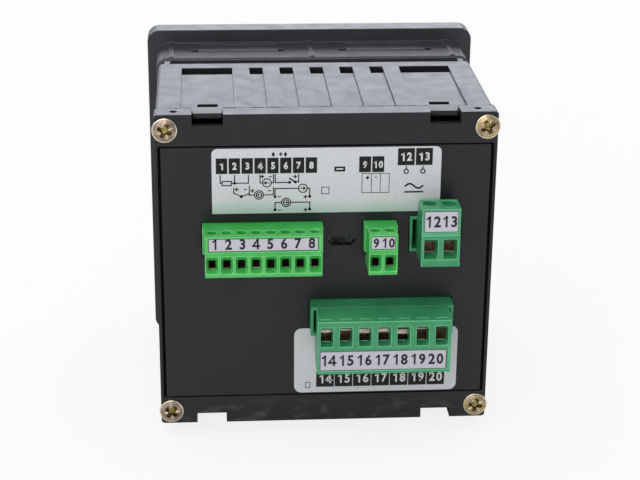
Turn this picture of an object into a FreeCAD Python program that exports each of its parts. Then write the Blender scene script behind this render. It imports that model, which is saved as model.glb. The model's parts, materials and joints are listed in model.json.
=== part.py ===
import FreeCAD, Part
import math
import os

# Panel-mounted process controller, 96 x 96 mm format, as it lies on a bench behind its panel.
# Millimetres. The rear face of the bezel flange is the plane Y = 0, centred on the bezel.
# The front looks along -Y, the terminals along +Y, and +Z is up.

# Bezel and collar, one moulding
bezel_size = 96.0
bezel_depth = 8.0
bezel_corner = 3.5
bezel_front_edge = 1.0
bezel_face_wall = 2.5
collar_step_x = 3.0
collar_step_z = 4.0
collar_depth = 16.5
collar_wall = 2.0
collar_corner = 3.0
shelf_depth = 2.0
collar_rim_edge = 0.5
collar_rib_width = 1.5
collar_rib_height = 0.4
collar_rib_offsets = (-40.2, 0.4, 40.8)
clip_window_offset = 21.5
clip_window_width = 26.9
clip_recess_width = 22.5
clip_recess_start = 1.6
clip_recess_length = 4.0
clip_recess_depth = 0.8
clip_slot_width = 1.9
clip_slot_start = 7.0
clip_slot_length = 2.5
clip_bar_height = 0.3

# Display window, display module and keys
window_width = 76.0
window_height = 46.0
window_top_margin = 9.5
window_rebate = 2.0
lens_thickness = 1.5
lens_clearance = 0.2
module_width = 68.0
module_height = 40.0
module_gap_to_face = 0.2
digit_field_width = 60.0
digit_field_heights = (17.0, 13.0)
digit_field_gap = 3.0
digit_field_depth = 0.8
key_width = 12.0
key_height = 7.0
key_corner = 1.8
key_pitch = 18.0
key_count = 4
key_bottom_margin = 20.5
key_proud = 0.9
key_edge = 0.4
key_clearance = 0.25
key_flange = 1.0
key_flange_thickness = 1.0
key_stem_width = 3.0
key_stem_length = 0.9
key_travel = 0.5
switch_gap = 0.2
switch_size = 6.0
switch_body_height = 3.5
switch_button_radius = 1.7
switch_button_height = 1.0

# Case body: a ribbed tube with a neck that plugs into the collar
case_step_x = 0.75
case_step_z = 0.15
case_wall = 2.2
case_corner = 1.2
case_front_y = 21.5
case_rear_y = 65.0
neck_clearance = 0.3
neck_wall = 2.0
neck_corner = 2.5
front_strip = 4.8
pad_offsets = (-30.4, 30.65)
pad_width = 14.1
groove_offsets = (-16.85, -8.35, 0.05, 8.5, 16.95)
groove_width = 3.75
groove_depth = 0.6
vent_length = 4.4
pad_slot_width = 5.2
pad_slot_length = 2.3
pad_slot_end = 3.6
corner_block_width = 1.7
corner_block_length = 3.0
corner_block_height = 1.6
pillar_size = 6.2
pillar_length = 18.0
rail_depth = 2.4
rail_thickness = 1.2
rail_clearance = 0.05

# Rear cover with its four screws
cover_lip_x = 0.4
cover_lip_z = 0.3
cover_depth = 6.1
cover_plate = 2.4
cover_rim = 2.2
cover_corner = 1.0
notch_offset = 30.8
notch_width = 8.0
notch_depth_top = 3.2
notch_depth_bottom = 2.8
tongue_clearance = 0.15
tongue_thickness = 1.4
tongue_end_y = 67.0
side_groove_inset = 1.25
side_groove_width = 0.75
side_groove_depth = 0.8
band_top_z = 35.45
band_bottom_z = -36.2
band_groove_width = 0.4
band_groove_depth = 0.4
dimple_offset = 39.5
dimple_radius = 0.9
dimple_depth = 0.5
header_hole_clearance = 0.25
screw_inset_x = 2.85
screw_inset_z = 3.95
screw_head_radius = 3.3
screw_head_height = 1.7
screw_head_edge = 0.8
screw_shank_radius = 1.45
screw_length = 16.0
screw_hole_radius = 1.7
pilot_radius = 1.5
cross_length = 3.7
cross_width = 0.85
cross_depth = 1.1
screw_turns = {"top_left": 24.0, "top_right": 64.0, "bottom_left": 38.0, "bottom_right": 12.0}

# Circuit boards and what they carry
board_thickness = 1.6
board_edge_gap = 0.3
board_side_gap = 1.65
upper_board_top = 5.5
lower_board_bottom = -8.0
board_front_y = 9.0
link_width = 24.0
link_height = 2.6
link_reach = 3.0
strip_setback = 2.0
strip_width = 26.0
strip_depth = 2.5
transformer_size = (24.0, 20.0, 17.0)
transformer_inset = 10.4
transformer_front_y = 22.0
transformer_wall = 2.0
transformer_winding = 8.5
transformer_winding_inset = 1.5
capacitor_radius = 5.0
capacitor_height = 16.0
capacitor_insets = (30.4, 18.4)
capacitor_y = 30.0
relay_size = (10.0, 20.5, 15.3)
relay_count = 3
relay_pitch = 12.0
relay_inset = 10.4
relay_front_y = 24.0
usb_centre_x = -4.2
usb_centre_z = 8.85
usb_slot_width = 7.4
usb_slot_height = 2.6
usb_shell_width = 7.7
usb_shell_height = 3.9
usb_shell_length = 9.0
usb_shell_wall = 0.4
usb_setback = 0.4
usb_back_wall = 1.5
usb_tongue_width = 3.6
usb_tongue_thickness = 0.8
usb_tongue_setback = 1.2
usb_tongue_rise = 0.5
usb_foot_width = 4.8
usb_foot_length = 7.0

# Terminal plugs. Heights h are counted from the side away from the screw heads, towards them.
plug_play = 0.12
shank_play = 0.15
thread_play = 0.05
plug_side_gap = 0.05
plug_rim_gap = 0.1
nose_clearance = 0.25
pin_clearance = 0.15
header_pin_root = 1.0
header_pin_setback = 1.5
nose_inset = 0.2
socket_stop = 1.2
passage_wall = 0.3
cage_play = 0.1
screw_play = 0.1
screw_slot_width = 0.6
chamber_overlap = 0.5
tab_overlap = 0.2
lip_groove_height = 0.3
lip_groove_depth = 0.1
mark_length = 0.3
mark_depth = 0.15
mark_from_front = 1.1
small = {
    "outline": "header_above", "mark_width": 2.4, "mark_on_far_side": False,
    "pitch": 3.81, "height": 11.2, "front_y": 82.0, "rim_y": 75.5, "back_y": 72.8,
    "header_h": (4.0, 11.0), "header_extra": 1.1, "header_wall": 0.8, "header_end_wall": 0.55,
    "header_length": 14.5, "nose_length": 8.2, "pin": 0.8, "slope_back": 0.0,
    "label_h": (7.0, 10.8), "label_side": 0.6, "label_depth": 0.3,
    "mouth_h": (0.9, 5.8), "mouth_width": 3.15, "open_h": (1.7, 4.2), "open_width": 1.85,
    "axis_y": 78.4, "bore_radius": 1.25, "head_height": 1.2, "shank_radius": 0.95, "lead": 0.4,
    "cage_width": 2.7, "cage_depth": 2.8, "cage_floor": 0.45, "cage_top": 0.7, "cage_side": 0.35,
    "open_floor_h": 1.2, "tab_h": (4.2, 4.6), "tab_width": 1.2, "travel": 2.4, "shoulder": 0.35,
    "step_h": 0.0, "step_proud": 0.0, "lip_h": 0.0, "hood_rise": 0.0,
}
large = {
    "outline": "overhang", "overhang_rise": 3.0, "hood_rise": 1.2,
    "mark_width": 2.8, "mark_on_far_side": True,
    "pitch": 5.08, "height": 15.1, "front_y": 83.3, "rim_y": 76.3, "back_y": 72.6,
    "header_h": (-1.3, 7.0), "header_extra": 2.6, "header_wall": 0.9, "header_end_wall": 0.8,
    "header_length": 13.0, "nose_length": 8.6, "pin": 1.0, "slope_back": 3.2,
    "label_h": (8.0, 14.2), "label_side": 0.5, "label_depth": 0.3,
    "mouth_h": (1.65, 7.2), "mouth_width": 3.35, "open_h": (3.4, 6.9), "open_width": 2.7,
    "axis_y": 78.5, "bore_radius": 1.9, "head_height": 1.5, "shank_radius": 1.25, "lead": 0.5,
    "cage_width": 4.0, "cage_depth": 3.1, "cage_floor": 1.3, "cage_top": 1.0, "cage_side": 0.5,
    "open_floor_h": 3.4, "tab_h": (6.7, 7.2), "tab_width": 2.0, "travel": 3.0, "shoulder": 0.5,
    "step_h": 0.0, "step_proud": 0.0, "lip_h": 0.0,
}
supply = dict(large)
supply.update({
    "outline": "header_below", "hood_rise": 0.0, "mark_on_far_side": False,
    "height": 15.85, "front_y": 82.5, "rim_y": 71.3, "back_y": 71.5,
    "header_h": (-0.25, 9.75), "header_extra": 3.5, "header_wall": 0.9, "header_end_wall": 0.8,
    "label_h": (9.35, 15.3), "label_side": 0.55, "slope_back": 3.5,
    "mouth_h": (2.1, 7.5), "mouth_width": 3.6, "open_h": (2.75, 6.0), "open_width": 2.7,
    "axis_y": 77.6, "cage_depth": 3.6, "cage_floor": 1.0, "cage_top": 1.2,
    "open_floor_h": 2.4, "tab_h": (6.0, 6.6), "travel": 3.0, "step_h": 8.7, "step_proud": 0.25,
    "lip_h": 1.5,
})
# name: kind, first terminal, ways, centre X, Z of the far side, side of the screw heads, clamp lifts
plugs = {
    "plug_1_8": (small, 1, 8, 16.8, 3.4, 1, (0.7, 0.7, 0.6, 0.8, 0.5, 0.7, 0.6, 0.7)),
    "plug_9_10": (small, 9, 2, -14.2, 3.4, 1, (0.6, 0.7)),
    "plug_12_13": (supply, 12, 2, -29.0, 5.75, 1, (0.65, 0.75)),
    "plug_14_20": (large, 14, 7, -14.9, -9.3, -1, (0.95, 0.5, 1.3, 1.15, 1.75, 0.4, 0.0)),
}

# Small repeated round features have flat sides, so that their meshes stay light
shank_sides = 12
head_sides = 16
bore_sides = 20
cover_screw_sides = 24
key_corner_facets = 4

# How far a cut runs past the face that it opens, and an added block into its carrier
overcut = 1.0
embed = 0.5

# Places worked out from the sizes above
collar_width = bezel_size - 2 * collar_step_x
collar_height = bezel_size - 2 * collar_step_z
bezel_front_y = -bezel_depth
face_inner_y = bezel_front_y + bezel_face_wall
collar_inner_width = collar_width - 2 * collar_wall
collar_inner_height = collar_height - 2 * collar_wall
shelf_inner_width = collar_inner_width - 2 * shelf_depth
shelf_inner_height = collar_inner_height - 2 * shelf_depth
neck_width = collar_inner_width - 2 * neck_clearance
neck_height = collar_inner_height - 2 * neck_clearance
window_centre_z = bezel_size / 2 - window_top_margin - window_height / 2
key_centre_z = key_bottom_margin - bezel_size / 2
case_width = collar_width - 2 * case_step_x
case_height = collar_height - 2 * case_step_z
cover_width = case_width + 2 * cover_lip_x
cover_height = case_height + 2 * cover_lip_z
case_inner_width = case_width - 2 * case_wall
case_inner_height = case_height - 2 * case_wall
key_back_y = face_inner_y + key_flange_thickness + key_stem_length
switch_button_y = key_back_y + key_travel + switch_gap
front_board_y = switch_button_y + switch_button_height + switch_body_height
neck_front_y = front_board_y + board_thickness
cover_rear_y = case_rear_y + cover_depth
plate_inner_y = cover_rear_y - cover_plate
board_rear_y = plate_inner_y - board_edge_gap
board_width = case_inner_width - 2 * board_side_gap
screw_x = cover_width / 2 - screw_inset_x
screw_z = cover_height / 2 - screw_inset_z
corners = {
    "top_left": (1, 1), "top_right": (-1, 1), "bottom_left": (1, -1), "bottom_right": (-1, -1),
}


def vector(x, y, z):
    return FreeCAD.Vector(x, y, z)


def box(x0, x1, y0, y1, z0, z1):
    low = vector(min(x0, x1), min(y0, y1), min(z0, z1))
    return Part.makeBox(abs(x1 - x0), abs(y1 - y0), abs(z1 - z0), low)


def plate(width, height, y0, y1, x=0.0, z=0.0):
    return box(x - width / 2, x + width / 2, y0, y1, z - height / 2, z + height / 2)


def ring_points(radius, sides, outside):
    """Corners of a many-sided ring: inside the circle for a rod, outside it for a hole."""
    reach = radius / math.cos(math.pi / sides) if outside else radius
    turns = [2 * math.pi * number / sides for number in range(sides)]
    return [(reach * math.cos(turn), reach * math.sin(turn)) for turn in turns]


def rod_y(x, z, radius, y0, y1, sides=shank_sides, outside=False):
    points = [vector(x + a, y0, z + b) for a, b in ring_points(radius, sides, outside)]
    return Part.Face(Part.makePolygon(points + points[:1])).extrude(vector(0, y1 - y0, 0))


def rod_z(x, y, radius, z0, z1, sides=shank_sides, outside=False):
    low = min(z0, z1)
    points = [vector(x + a, y + b, low) for a, b in ring_points(radius, sides, outside)]
    return Part.Face(Part.makePolygon(points + points[:1])).extrude(vector(0, 0, abs(z1 - z0)))


def hole_y(x, z, radius, y0, y1, sides=shank_sides):
    return rod_y(x, z, radius, y0, y1, sides, True)


def hole_z(x, y, radius, z0, z1, sides=shank_sides):
    return rod_z(x, y, radius, z0, z1, sides, True)


def rounded_plate(width, height, y0, y1, radius, x=0.0, z=0.0):
    """A plate seen along Y with round corners."""
    half_w = width / 2
    half_h = height / 2
    inner_w = half_w - radius
    inner_h = half_h - radius
    bow = radius * math.sqrt(0.5)
    edges = []
    for turn in range(4):
        sign_x = (1, -1, -1, 1)[turn]
        sign_z = (1, 1, -1, -1)[turn]
        along_side = vector(x + sign_x * half_w, y0, z + sign_z * inner_h)
        along_top = vector(x + sign_x * inner_w, y0, z + sign_z * half_h)
        middle = vector(x + sign_x * (inner_w + bow), y0, z + sign_z * (inner_h + bow))
        if turn % 2 == 0:
            edges.append((along_side, middle, along_top))
        else:
            edges.append((along_top, middle, along_side))
    pieces = []
    for turn in range(4):
        start, middle, end = edges[turn]
        following = edges[(turn + 1) % 4][0]
        pieces.append(Part.Arc(start, middle, end).toShape())
        pieces.append(Part.LineSegment(end, following).toShape())
    face = Part.Face(Part.Wire(pieces))
    return face.extrude(vector(0, y1 - y0, 0))


def faceted_plate(width, height, y0, y1, radius, x=0.0, z=0.0):
    """A small plate seen along Y, whose round corners have a few flat sides each."""
    inner_w = width / 2 - radius
    inner_h = height / 2 - radius
    points = []
    for quarter in range(4):
        sign_x = (1, -1, -1, 1)[quarter]
        sign_z = (1, 1, -1, -1)[quarter]
        for step in range(key_corner_facets + 1):
            turn = math.pi / 2 * (quarter + step / key_corner_facets)
            points.append(vector(x + sign_x * inner_w + radius * math.cos(turn), y0,
                                 z + sign_z * inner_h + radius * math.sin(turn)))
    return Part.Face(Part.makePolygon(points + points[:1])).extrude(vector(0, y1 - y0, 0))


def prism_x(points, x0, x1):
    """A closed outline of (y, z) points, drawn out along X."""
    corners_3d = [vector(x0, y, z) for y, z in points]
    wire = Part.makePolygon(corners_3d + corners_3d[:1])
    return Part.Face(wire).extrude(vector(x1 - x0, 0, 0))


def joined(first, others):
    return first.fuse(others).removeSplitter()


def less(first, others):
    return first.cut(others)


def save(name, shape):
    shape.exportStep("parts/" + name + ".step")


def bezel_clip_window(side, centre_x):
    """Where a panel clip hooks into the collar: a recess, and a slot at each end."""
    top = side * collar_height / 2
    under = top - side * clip_recess_depth
    recess_end = clip_recess_start + clip_recess_length
    cuts = [box(centre_x - clip_recess_width / 2, centre_x + clip_recess_width / 2,
                clip_recess_start, recess_end, under, top + side * overcut)]
    for end in (-1, 1):
        outer = centre_x + end * clip_window_width / 2
        inner = outer - end * clip_slot_width
        cuts.append(box(inner, outer, clip_slot_start, clip_slot_start + clip_slot_length,
                        top - side * 2 * collar_wall, top + side * overcut))
    return cuts


def bezel_clip_bar(side, centre_x):
    """A low bar between the two slots, which the panel clip slides over."""
    top = side * collar_height / 2
    half = clip_window_width / 2 - clip_slot_width
    return box(centre_x - half, centre_x + half,
               clip_recess_start + clip_recess_length, clip_slot_start + clip_slot_length,
               top - side * overcut, top + side * clip_bar_height)


def key_centres():
    first = key_pitch * (key_count - 1) / 2
    return [first - key_pitch * number for number in range(key_count)]


def make_bezel():
    flange = rounded_plate(bezel_size, bezel_size, bezel_front_y, 0, bezel_corner)
    front_edges = [e for e in flange.Edges if e.BoundBox.YMax < bezel_front_y + 0.01]
    flange = flange.makeChamfer(bezel_front_edge, front_edges)
    collar = rounded_plate(collar_width, collar_height, -overcut, collar_depth, collar_corner)
    rim = [e for e in collar.Edges if e.BoundBox.YMin > collar_depth - 0.01]
    collar = collar.makeChamfer(collar_rim_edge, rim)
    ribs = []
    for side in (-1, 1):
        top = side * collar_height / 2
        for x in collar_rib_offsets:
            ribs.append(box(x - collar_rib_width / 2, x + collar_rib_width / 2,
                            -overcut, collar_depth - collar_rim_edge,
                            top - side * overcut, top + side * collar_rib_height))
        ribs += [bezel_clip_bar(side, x) for x in (-clip_window_offset, clip_window_offset)]
    body = joined(flange, [collar] + ribs)
    cuts = [
        plate(shelf_inner_width, shelf_inner_height, face_inner_y, front_board_y + overcut),
        plate(collar_inner_width, collar_inner_height, front_board_y, collar_depth + overcut),
        plate(window_width, window_height, bezel_front_y - overcut, face_inner_y + overcut,
              0, window_centre_z),
        plate(window_width + 2 * window_rebate, window_height + 2 * window_rebate,
              bezel_front_y - overcut, bezel_front_y + lens_thickness, 0, window_centre_z),
    ]
    for x in key_centres():
        cuts.append(faceted_plate(key_width + 2 * key_clearance, key_height + 2 * key_clearance,
                                  bezel_front_y - overcut, face_inner_y + overcut,
                                  key_corner + key_clearance, x, key_centre_z))
    for side in (-1, 1):
        for x in (-clip_window_offset, clip_window_offset):
            cuts += bezel_clip_window(side, x)
    return less(body, cuts)


def make_lens():
    inset = 2 * window_rebate - 2 * lens_clearance
    return plate(window_width + inset, window_height + inset,
                 bezel_front_y, bezel_front_y + lens_thickness, 0, window_centre_z)


def digit_fields():
    """Centre height and height of each row of digits."""
    upper, lower = digit_field_heights
    total = upper + digit_field_gap + lower
    top = window_centre_z + total / 2
    return [(top - upper / 2, upper), (top - upper - digit_field_gap - lower / 2, lower)]


def make_display_module():
    front = face_inner_y + module_gap_to_face
    body = plate(module_width, module_height, front, front_board_y, 0, window_centre_z)
    fields = [plate(digit_field_width, height, front - overcut, front + digit_field_depth, 0, z)
              for z, height in digit_fields()]
    return less(body, fields)


def make_key(x):
    cap = faceted_plate(key_width, key_height, bezel_front_y - key_proud, face_inner_y,
                        key_corner, x, key_centre_z)
    edges = [e for e in cap.Edges if e.BoundBox.YMax < bezel_front_y - key_proud + 0.01]
    cap = cap.makeChamfer(key_edge, edges)
    back = face_inner_y + key_flange_thickness
    flange = plate(key_width + 2 * key_flange, key_height + 2 * key_flange,
                   face_inner_y, back, x, key_centre_z)
    stem = plate(key_stem_width, key_stem_width, back, key_back_y, x, key_centre_z)
    return joined(cap, [flange, stem])


def make_front_board():
    board = plate(collar_inner_width - 2 * board_edge_gap, collar_inner_height - 2 * board_edge_gap,
                  front_board_y, neck_front_y)
    switches = []
    for x in key_centres():
        body_y = front_board_y - switch_body_height
        switches.append(plate(switch_size, switch_size, body_y, front_board_y, x, key_centre_z))
        switches.append(rod_y(x, key_centre_z, switch_button_radius, switch_button_y, body_y))
    return joined(board, switches)


def screw_places():
    return {name: (sx * screw_x, sz * screw_z) for name, (sx, sz) in corners.items()}


def groove_cuts(side):
    """Sunk pads and grooves along the top or the underside, each with a vent at its front end."""
    top = side * case_height / 2
    floor = top - side * groove_depth
    start = case_front_y + front_strip
    cuts = []
    strips = [(x, pad_width) for x in pad_offsets] + [(x, groove_width) for x in groove_offsets]
    for x, width in strips:
        cuts.append(box(x - width / 2, x + width / 2, start, case_rear_y + overcut, floor, top + side))
        cuts.append(box(x - width / 2, x + width / 2, start, start + vent_length,
                        top - side * 2 * case_wall, top + side))
    for x in pad_offsets:
        end = case_rear_y - pad_slot_end
        cuts.append(box(x - pad_slot_width / 2, x + pad_slot_width / 2, end - pad_slot_length, end,
                        top - side * 2 * case_wall, top + side))
    return cuts


def board_rails(side):
    """Two pairs of rails on a side wall, which the edges of the two boards slide into."""
    wall = side * (case_inner_width / 2 + 0.2)
    tip = side * (case_inner_width / 2 - rail_depth)
    rails = []
    for bottom in (upper_board_top - board_thickness, lower_board_bottom):
        above = bottom + board_thickness + rail_clearance
        below = bottom - rail_clearance
        rails.append(box(wall, tip, case_front_y + overcut, case_rear_y, above, above + rail_thickness))
        rails.append(box(wall, tip, case_front_y + overcut, case_rear_y, below - rail_thickness, below))
    return rails


def make_case():
    tube = rounded_plate(case_width, case_height, case_front_y, case_rear_y, case_corner)
    neck = rounded_plate(neck_width, neck_height, neck_front_y, case_front_y + overcut, neck_corner)
    inner = plate(case_inner_width, case_inner_height, case_front_y + case_wall, case_rear_y + overcut)
    neck_inner = plate(neck_width - 2 * neck_wall, neck_height - 2 * neck_wall,
                       neck_front_y - overcut, case_front_y + case_wall + overcut)
    shell = less(tube.fuse(neck), [inner, neck_inner])
    additions = board_rails(-1) + board_rails(1)
    for x, z in screw_places().values():
        sx = math.copysign(1, x)
        sz = math.copysign(1, z)
        additions.append(box(x - sx * pillar_size / 2, sx * (case_width / 2 - embed),
                             case_rear_y - pillar_length, case_rear_y,
                             z - sz * pillar_size / 2, sz * (case_height / 2 - embed)))
    for side_x in (-1, 1):
        for side_z in (-1, 1):
            outer = side_x * neck_width / 2
            edge = side_z * case_height / 2
            additions.append(box(outer, outer - side_x * corner_block_width,
                                 case_front_y - corner_block_length, case_front_y + embed,
                                 edge, edge - side_z * corner_block_height - side_z))
    shell = joined(shell, additions)
    cuts = groove_cuts(-1) + groove_cuts(1)
    for x, z in screw_places().values():
        cuts.append(hole_y(x, z, pilot_radius, case_rear_y - pillar_length + overcut,
                           case_rear_y + overcut))
    shell = less(shell, cuts)
    tongues = []
    half = notch_width / 2 - tongue_clearance
    for side in (-1, 1):
        outer = side * (case_height / 2 - groove_depth)
        for x in (-notch_offset, notch_offset):
            tongues.append(box(x - half, x + half, case_rear_y - case_wall, tongue_end_y,
                               outer - side * tongue_thickness, outer))
    return joined(shell, tongues)


def make_cover():
    body = rounded_plate(cover_width, cover_height, case_rear_y, cover_rear_y, cover_corner)
    cuts = [plate(cover_width - 2 * cover_rim, cover_height - 2 * cover_rim,
                  case_rear_y - overcut, plate_inner_y)]
    body = less(body, cuts)
    bosses = []
    for x, z in screw_places().values():
        sx = math.copysign(1, x)
        sz = math.copysign(1, z)
        bosses.append(box(x - sx * pillar_size / 2, sx * (cover_width / 2 - overcut),
                          case_rear_y, plate_inner_y + embed,
                          z - sz * pillar_size / 2, sz * (cover_height / 2 - overcut)))
    body = joined(body, bosses)
    half_w = cover_width / 2
    half_h = cover_height / 2
    cuts = []
    for x in (-notch_offset, notch_offset):
        for z, depth in ((half_h, notch_depth_top), (-half_h, notch_depth_bottom)):
            cuts.append(plate(notch_width, 2 * depth, case_rear_y - overcut, cover_rear_y + overcut, x, z))
    for x in (-dimple_offset, dimple_offset):
        cuts.append(hole_z(x, case_rear_y + cover_depth / 2, dimple_radius,
                           half_h - dimple_depth, half_h + overcut))
    for side in (-1, 1):
        x = side * (half_w - side_groove_inset)
        cuts.append(box(x - side_groove_width / 2, x + side_groove_width / 2,
                        cover_rear_y - side_groove_depth, cover_rear_y + overcut,
                        band_bottom_z, band_top_z))
    inner_half = half_w - side_groove_inset
    for z in (band_top_z, band_bottom_z):
        cuts.append(box(-inner_half, inner_half, cover_rear_y - band_groove_depth, cover_rear_y + overcut,
                        z - band_groove_width / 2, z + band_groove_width / 2))
    for x, z in screw_places().values():
        cuts.append(hole_y(x, z, screw_hole_radius, case_rear_y - overcut, cover_rear_y + overcut))
    for name in plugs:
        x0, x1, z0, z1 = header_outline(name)
        gap = header_hole_clearance
        cuts.append(box(x0 - gap, x1 + gap, case_rear_y - overcut, cover_rear_y + overcut,
                        z0 - gap, z1 + gap))
    cuts.append(usb_slot(usb_slot_width, usb_slot_height, plate_inner_y - overcut, cover_rear_y + overcut))
    return less(body, cuts)


def usb_slot(width, height, y0, y1):
    """The mouth of a small five-way socket: flat, with its two lower corners cut off."""
    half = width / 2
    corner = height * 0.45
    low = usb_centre_z - height / 2
    high = usb_centre_z + height / 2
    outline = [(-half, high), (half, high), (half, low + corner), (half - corner, low),
               (corner - half, low), (-half, low + corner)]
    points = [vector(usb_centre_x + x, y0, z) for x, z in outline]
    face = Part.Face(Part.makePolygon(points + points[:1]))
    return face.extrude(vector(0, y1 - y0, 0))


def make_cover_screws():
    screws = []
    for name, (x, z) in screw_places().items():
        top = cover_rear_y + screw_head_height
        head = rod_y(x, z, screw_head_radius, cover_rear_y, top, cover_screw_sides)
        rim = [e for e in head.Edges if e.BoundBox.YMin > top - 0.01]
        head = head.makeChamfer(screw_head_edge, rim)
        shank = rod_y(x, z, screw_shank_radius, cover_rear_y - screw_length, cover_rear_y)
        screw = joined(head, [shank])
        bars = []
        for quarter in (0.0, 90.0):
            bar = box(-cross_length / 2, cross_length / 2, top - cross_depth, top + overcut,
                      -cross_width / 2, cross_width / 2)
            bar.rotate(vector(0, 0, 0), vector(0, 1, 0), screw_turns[name] + quarter)
            bar.translate(vector(x, 0, z))
            bars.append(bar)
        screws.append(less(screw, bars))
    return Part.makeCompound(screws)


def make_upper_board():
    bottom = upper_board_top - board_thickness
    board = box(-board_width / 2, board_width / 2, board_front_y, board_rear_y,
                bottom, upper_board_top)
    link = box(-link_width / 2, link_width / 2, neck_front_y, board_front_y + link_reach,
               upper_board_top, upper_board_top + link_height)
    capacitors = [rod_z(board_width / 2 - inset, capacitor_y, capacitor_radius, upper_board_top,
                        upper_board_top + capacitor_height, bore_sides)
                  for inset in capacitor_insets]
    return joined(board, [link] + capacitors)


def make_lower_board():
    top = lower_board_bottom + board_thickness
    board = box(-board_width / 2, board_width / 2, board_front_y, board_rear_y,
                lower_board_bottom, top)
    strip = box(-strip_width / 2, strip_width / 2, board_front_y + strip_setback,
                board_front_y + strip_setback + strip_depth,
                top, upper_board_top - board_thickness)
    return joined(board, [strip])


def make_transformer():
    """A core of two plates and legs round a square bobbin, soldered to the upper board."""
    length, depth, height = transformer_size
    x = transformer_inset - board_width / 2
    y = transformer_front_y
    base = upper_board_top
    core = box(x, x + length, y, y + depth, base, base + height)
    window_y = (depth - transformer_winding) / 2
    window = box(x + transformer_wall, x + length - transformer_wall, y - overcut, y + window_y,
                 base + transformer_wall, base + height - transformer_wall)
    mirrored = box(x + transformer_wall, x + length - transformer_wall,
                   y + depth - window_y, y + depth + overcut,
                   base + transformer_wall, base + height - transformer_wall)
    core = less(core, [window, mirrored])
    bobbin = rod_z(x + length / 2, y + depth / 2, depth / 2 - transformer_winding_inset,
                   base + transformer_wall, base + height - transformer_wall, bore_sides)
    return joined(core, [bobbin])


def make_relays():
    width, depth, height = relay_size
    relays = []
    for number in range(relay_count):
        x = relay_inset - board_width / 2 + number * relay_pitch
        relays.append(box(x, x + width, relay_front_y, relay_front_y + depth,
                          lower_board_bottom - height, lower_board_bottom))
    return Part.makeCompound(relays)


def make_usb_socket():
    rear = plate_inner_y - usb_setback
    front = rear - usb_shell_length
    shell = usb_slot(usb_shell_width, usb_shell_height, front, rear)
    wall = 2 * usb_shell_wall
    hollow = usb_slot(usb_shell_width - wall, usb_shell_height - wall,
                      front + usb_back_wall, rear + overcut)
    tongue = plate(usb_tongue_width, usb_tongue_thickness, front, rear - usb_tongue_setback,
                   usb_centre_x, usb_centre_z + usb_tongue_rise)
    half_foot = usb_foot_width / 2
    foot = box(usb_centre_x - half_foot, usb_centre_x + half_foot, front, front + usb_foot_length,
               upper_board_top, usb_centre_z - usb_shell_height / 2 + usb_shell_wall)
    return joined(less(shell, [hollow]), [tongue, foot])


def way_centres(name):
    kind, first, ways, centre_x, far_z, side, lifts = plugs[name]
    start = centre_x + kind["pitch"] * (ways - 1) / 2
    return [start - kind["pitch"] * number for number in range(ways)]


def raised(name, h):
    """Z of a height counted from the plug's far side."""
    far_z, side = plugs[name][4:6]
    return far_z + side * h


def header_outline(name):
    kind, first, ways, centre_x = plugs[name][:4]
    half = (ways * kind["pitch"] + kind["header_extra"]) / 2
    ends = sorted(raised(name, h) for h in kind["header_h"])
    return centre_x - half, centre_x + half, ends[0], ends[1]


def make_header(name):
    """The shrouded pin header on the board, which the plug pushes into."""
    kind = plugs[name][0]
    side = plugs[name][5]
    x0, x1, z0, z1 = header_outline(name)
    rim = kind["rim_y"]
    back = rim - kind["header_length"]
    floor = rim - kind["nose_length"] - nose_clearance
    end_wall = kind["header_end_wall"]
    wall = kind["header_wall"]
    shroud = box(x0, x1, back, rim, z0, z1)
    cavity = box(x0 + end_wall, x1 - end_wall, floor, rim + overcut, z0 + wall, z1 - wall)
    additions = []
    middle = (z0 + z1) / 2
    half_pin = kind["pin"] / 2
    for x in way_centres(name):
        additions.append(box(x - half_pin, x + half_pin,
                             floor - header_pin_root, rim - header_pin_setback,
                             middle - half_pin, middle + half_pin))
    board_face = upper_board_top if side > 0 else lower_board_bottom
    board_side = z0 if side > 0 else z1
    if board_face != board_side:
        additions.append(box(x0, x1, back, board_rear_y, board_face, board_side))
    return joined(less(shroud, [cavity]), additions)


def plug_outline(name):
    """Side view of the part of the plug outside its header, as (y, z) points."""
    kind = plugs[name][0]
    low, high = kind["header_h"]
    rim = kind["rim_y"] + plug_rim_gap
    back = kind["back_y"]
    top = kind["height"]
    front = kind["front_y"]
    if kind["outline"] == "header_above":
        points = [(back, 0), (front, 0), (front, top), (rim, top),
                  (rim, low - plug_rim_gap), (back, low - plug_rim_gap)]
    elif kind["outline"] == "header_below":
        points = [(back, 0), (front, 0), (front, top), (back + kind["slope_back"], top),
                  (back, high + plug_rim_gap)]
    else:
        points = [(rim, -kind["hood_rise"]), (front, 0), (front, top), (back + kind["slope_back"], top),
                  (back, high + kind["overhang_rise"]), (back, high + plug_rim_gap),
                  (rim, high + plug_rim_gap)]
    return [(y, raised(name, h)) for y, h in points]


def block_box(name, x0, x1, y0, y1, h0, h1):
    return box(x0, x1, y0, y1, raised(name, h0), raised(name, h1))


def tapered_block(near, far):
    """A solid between two four-cornered rings of points, with four sloping sides."""
    faces = [Part.Face(Part.makePolygon(ring + ring[:1])) for ring in (near, far)]
    for number in range(4):
        following = (number + 1) % 4
        side = [near[number], near[following], far[following], far[number]]
        faces.append(Part.Face(Part.makePolygon(side + side[:1])))
    return Part.makeSolid(Part.makeShell(faces))


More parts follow.
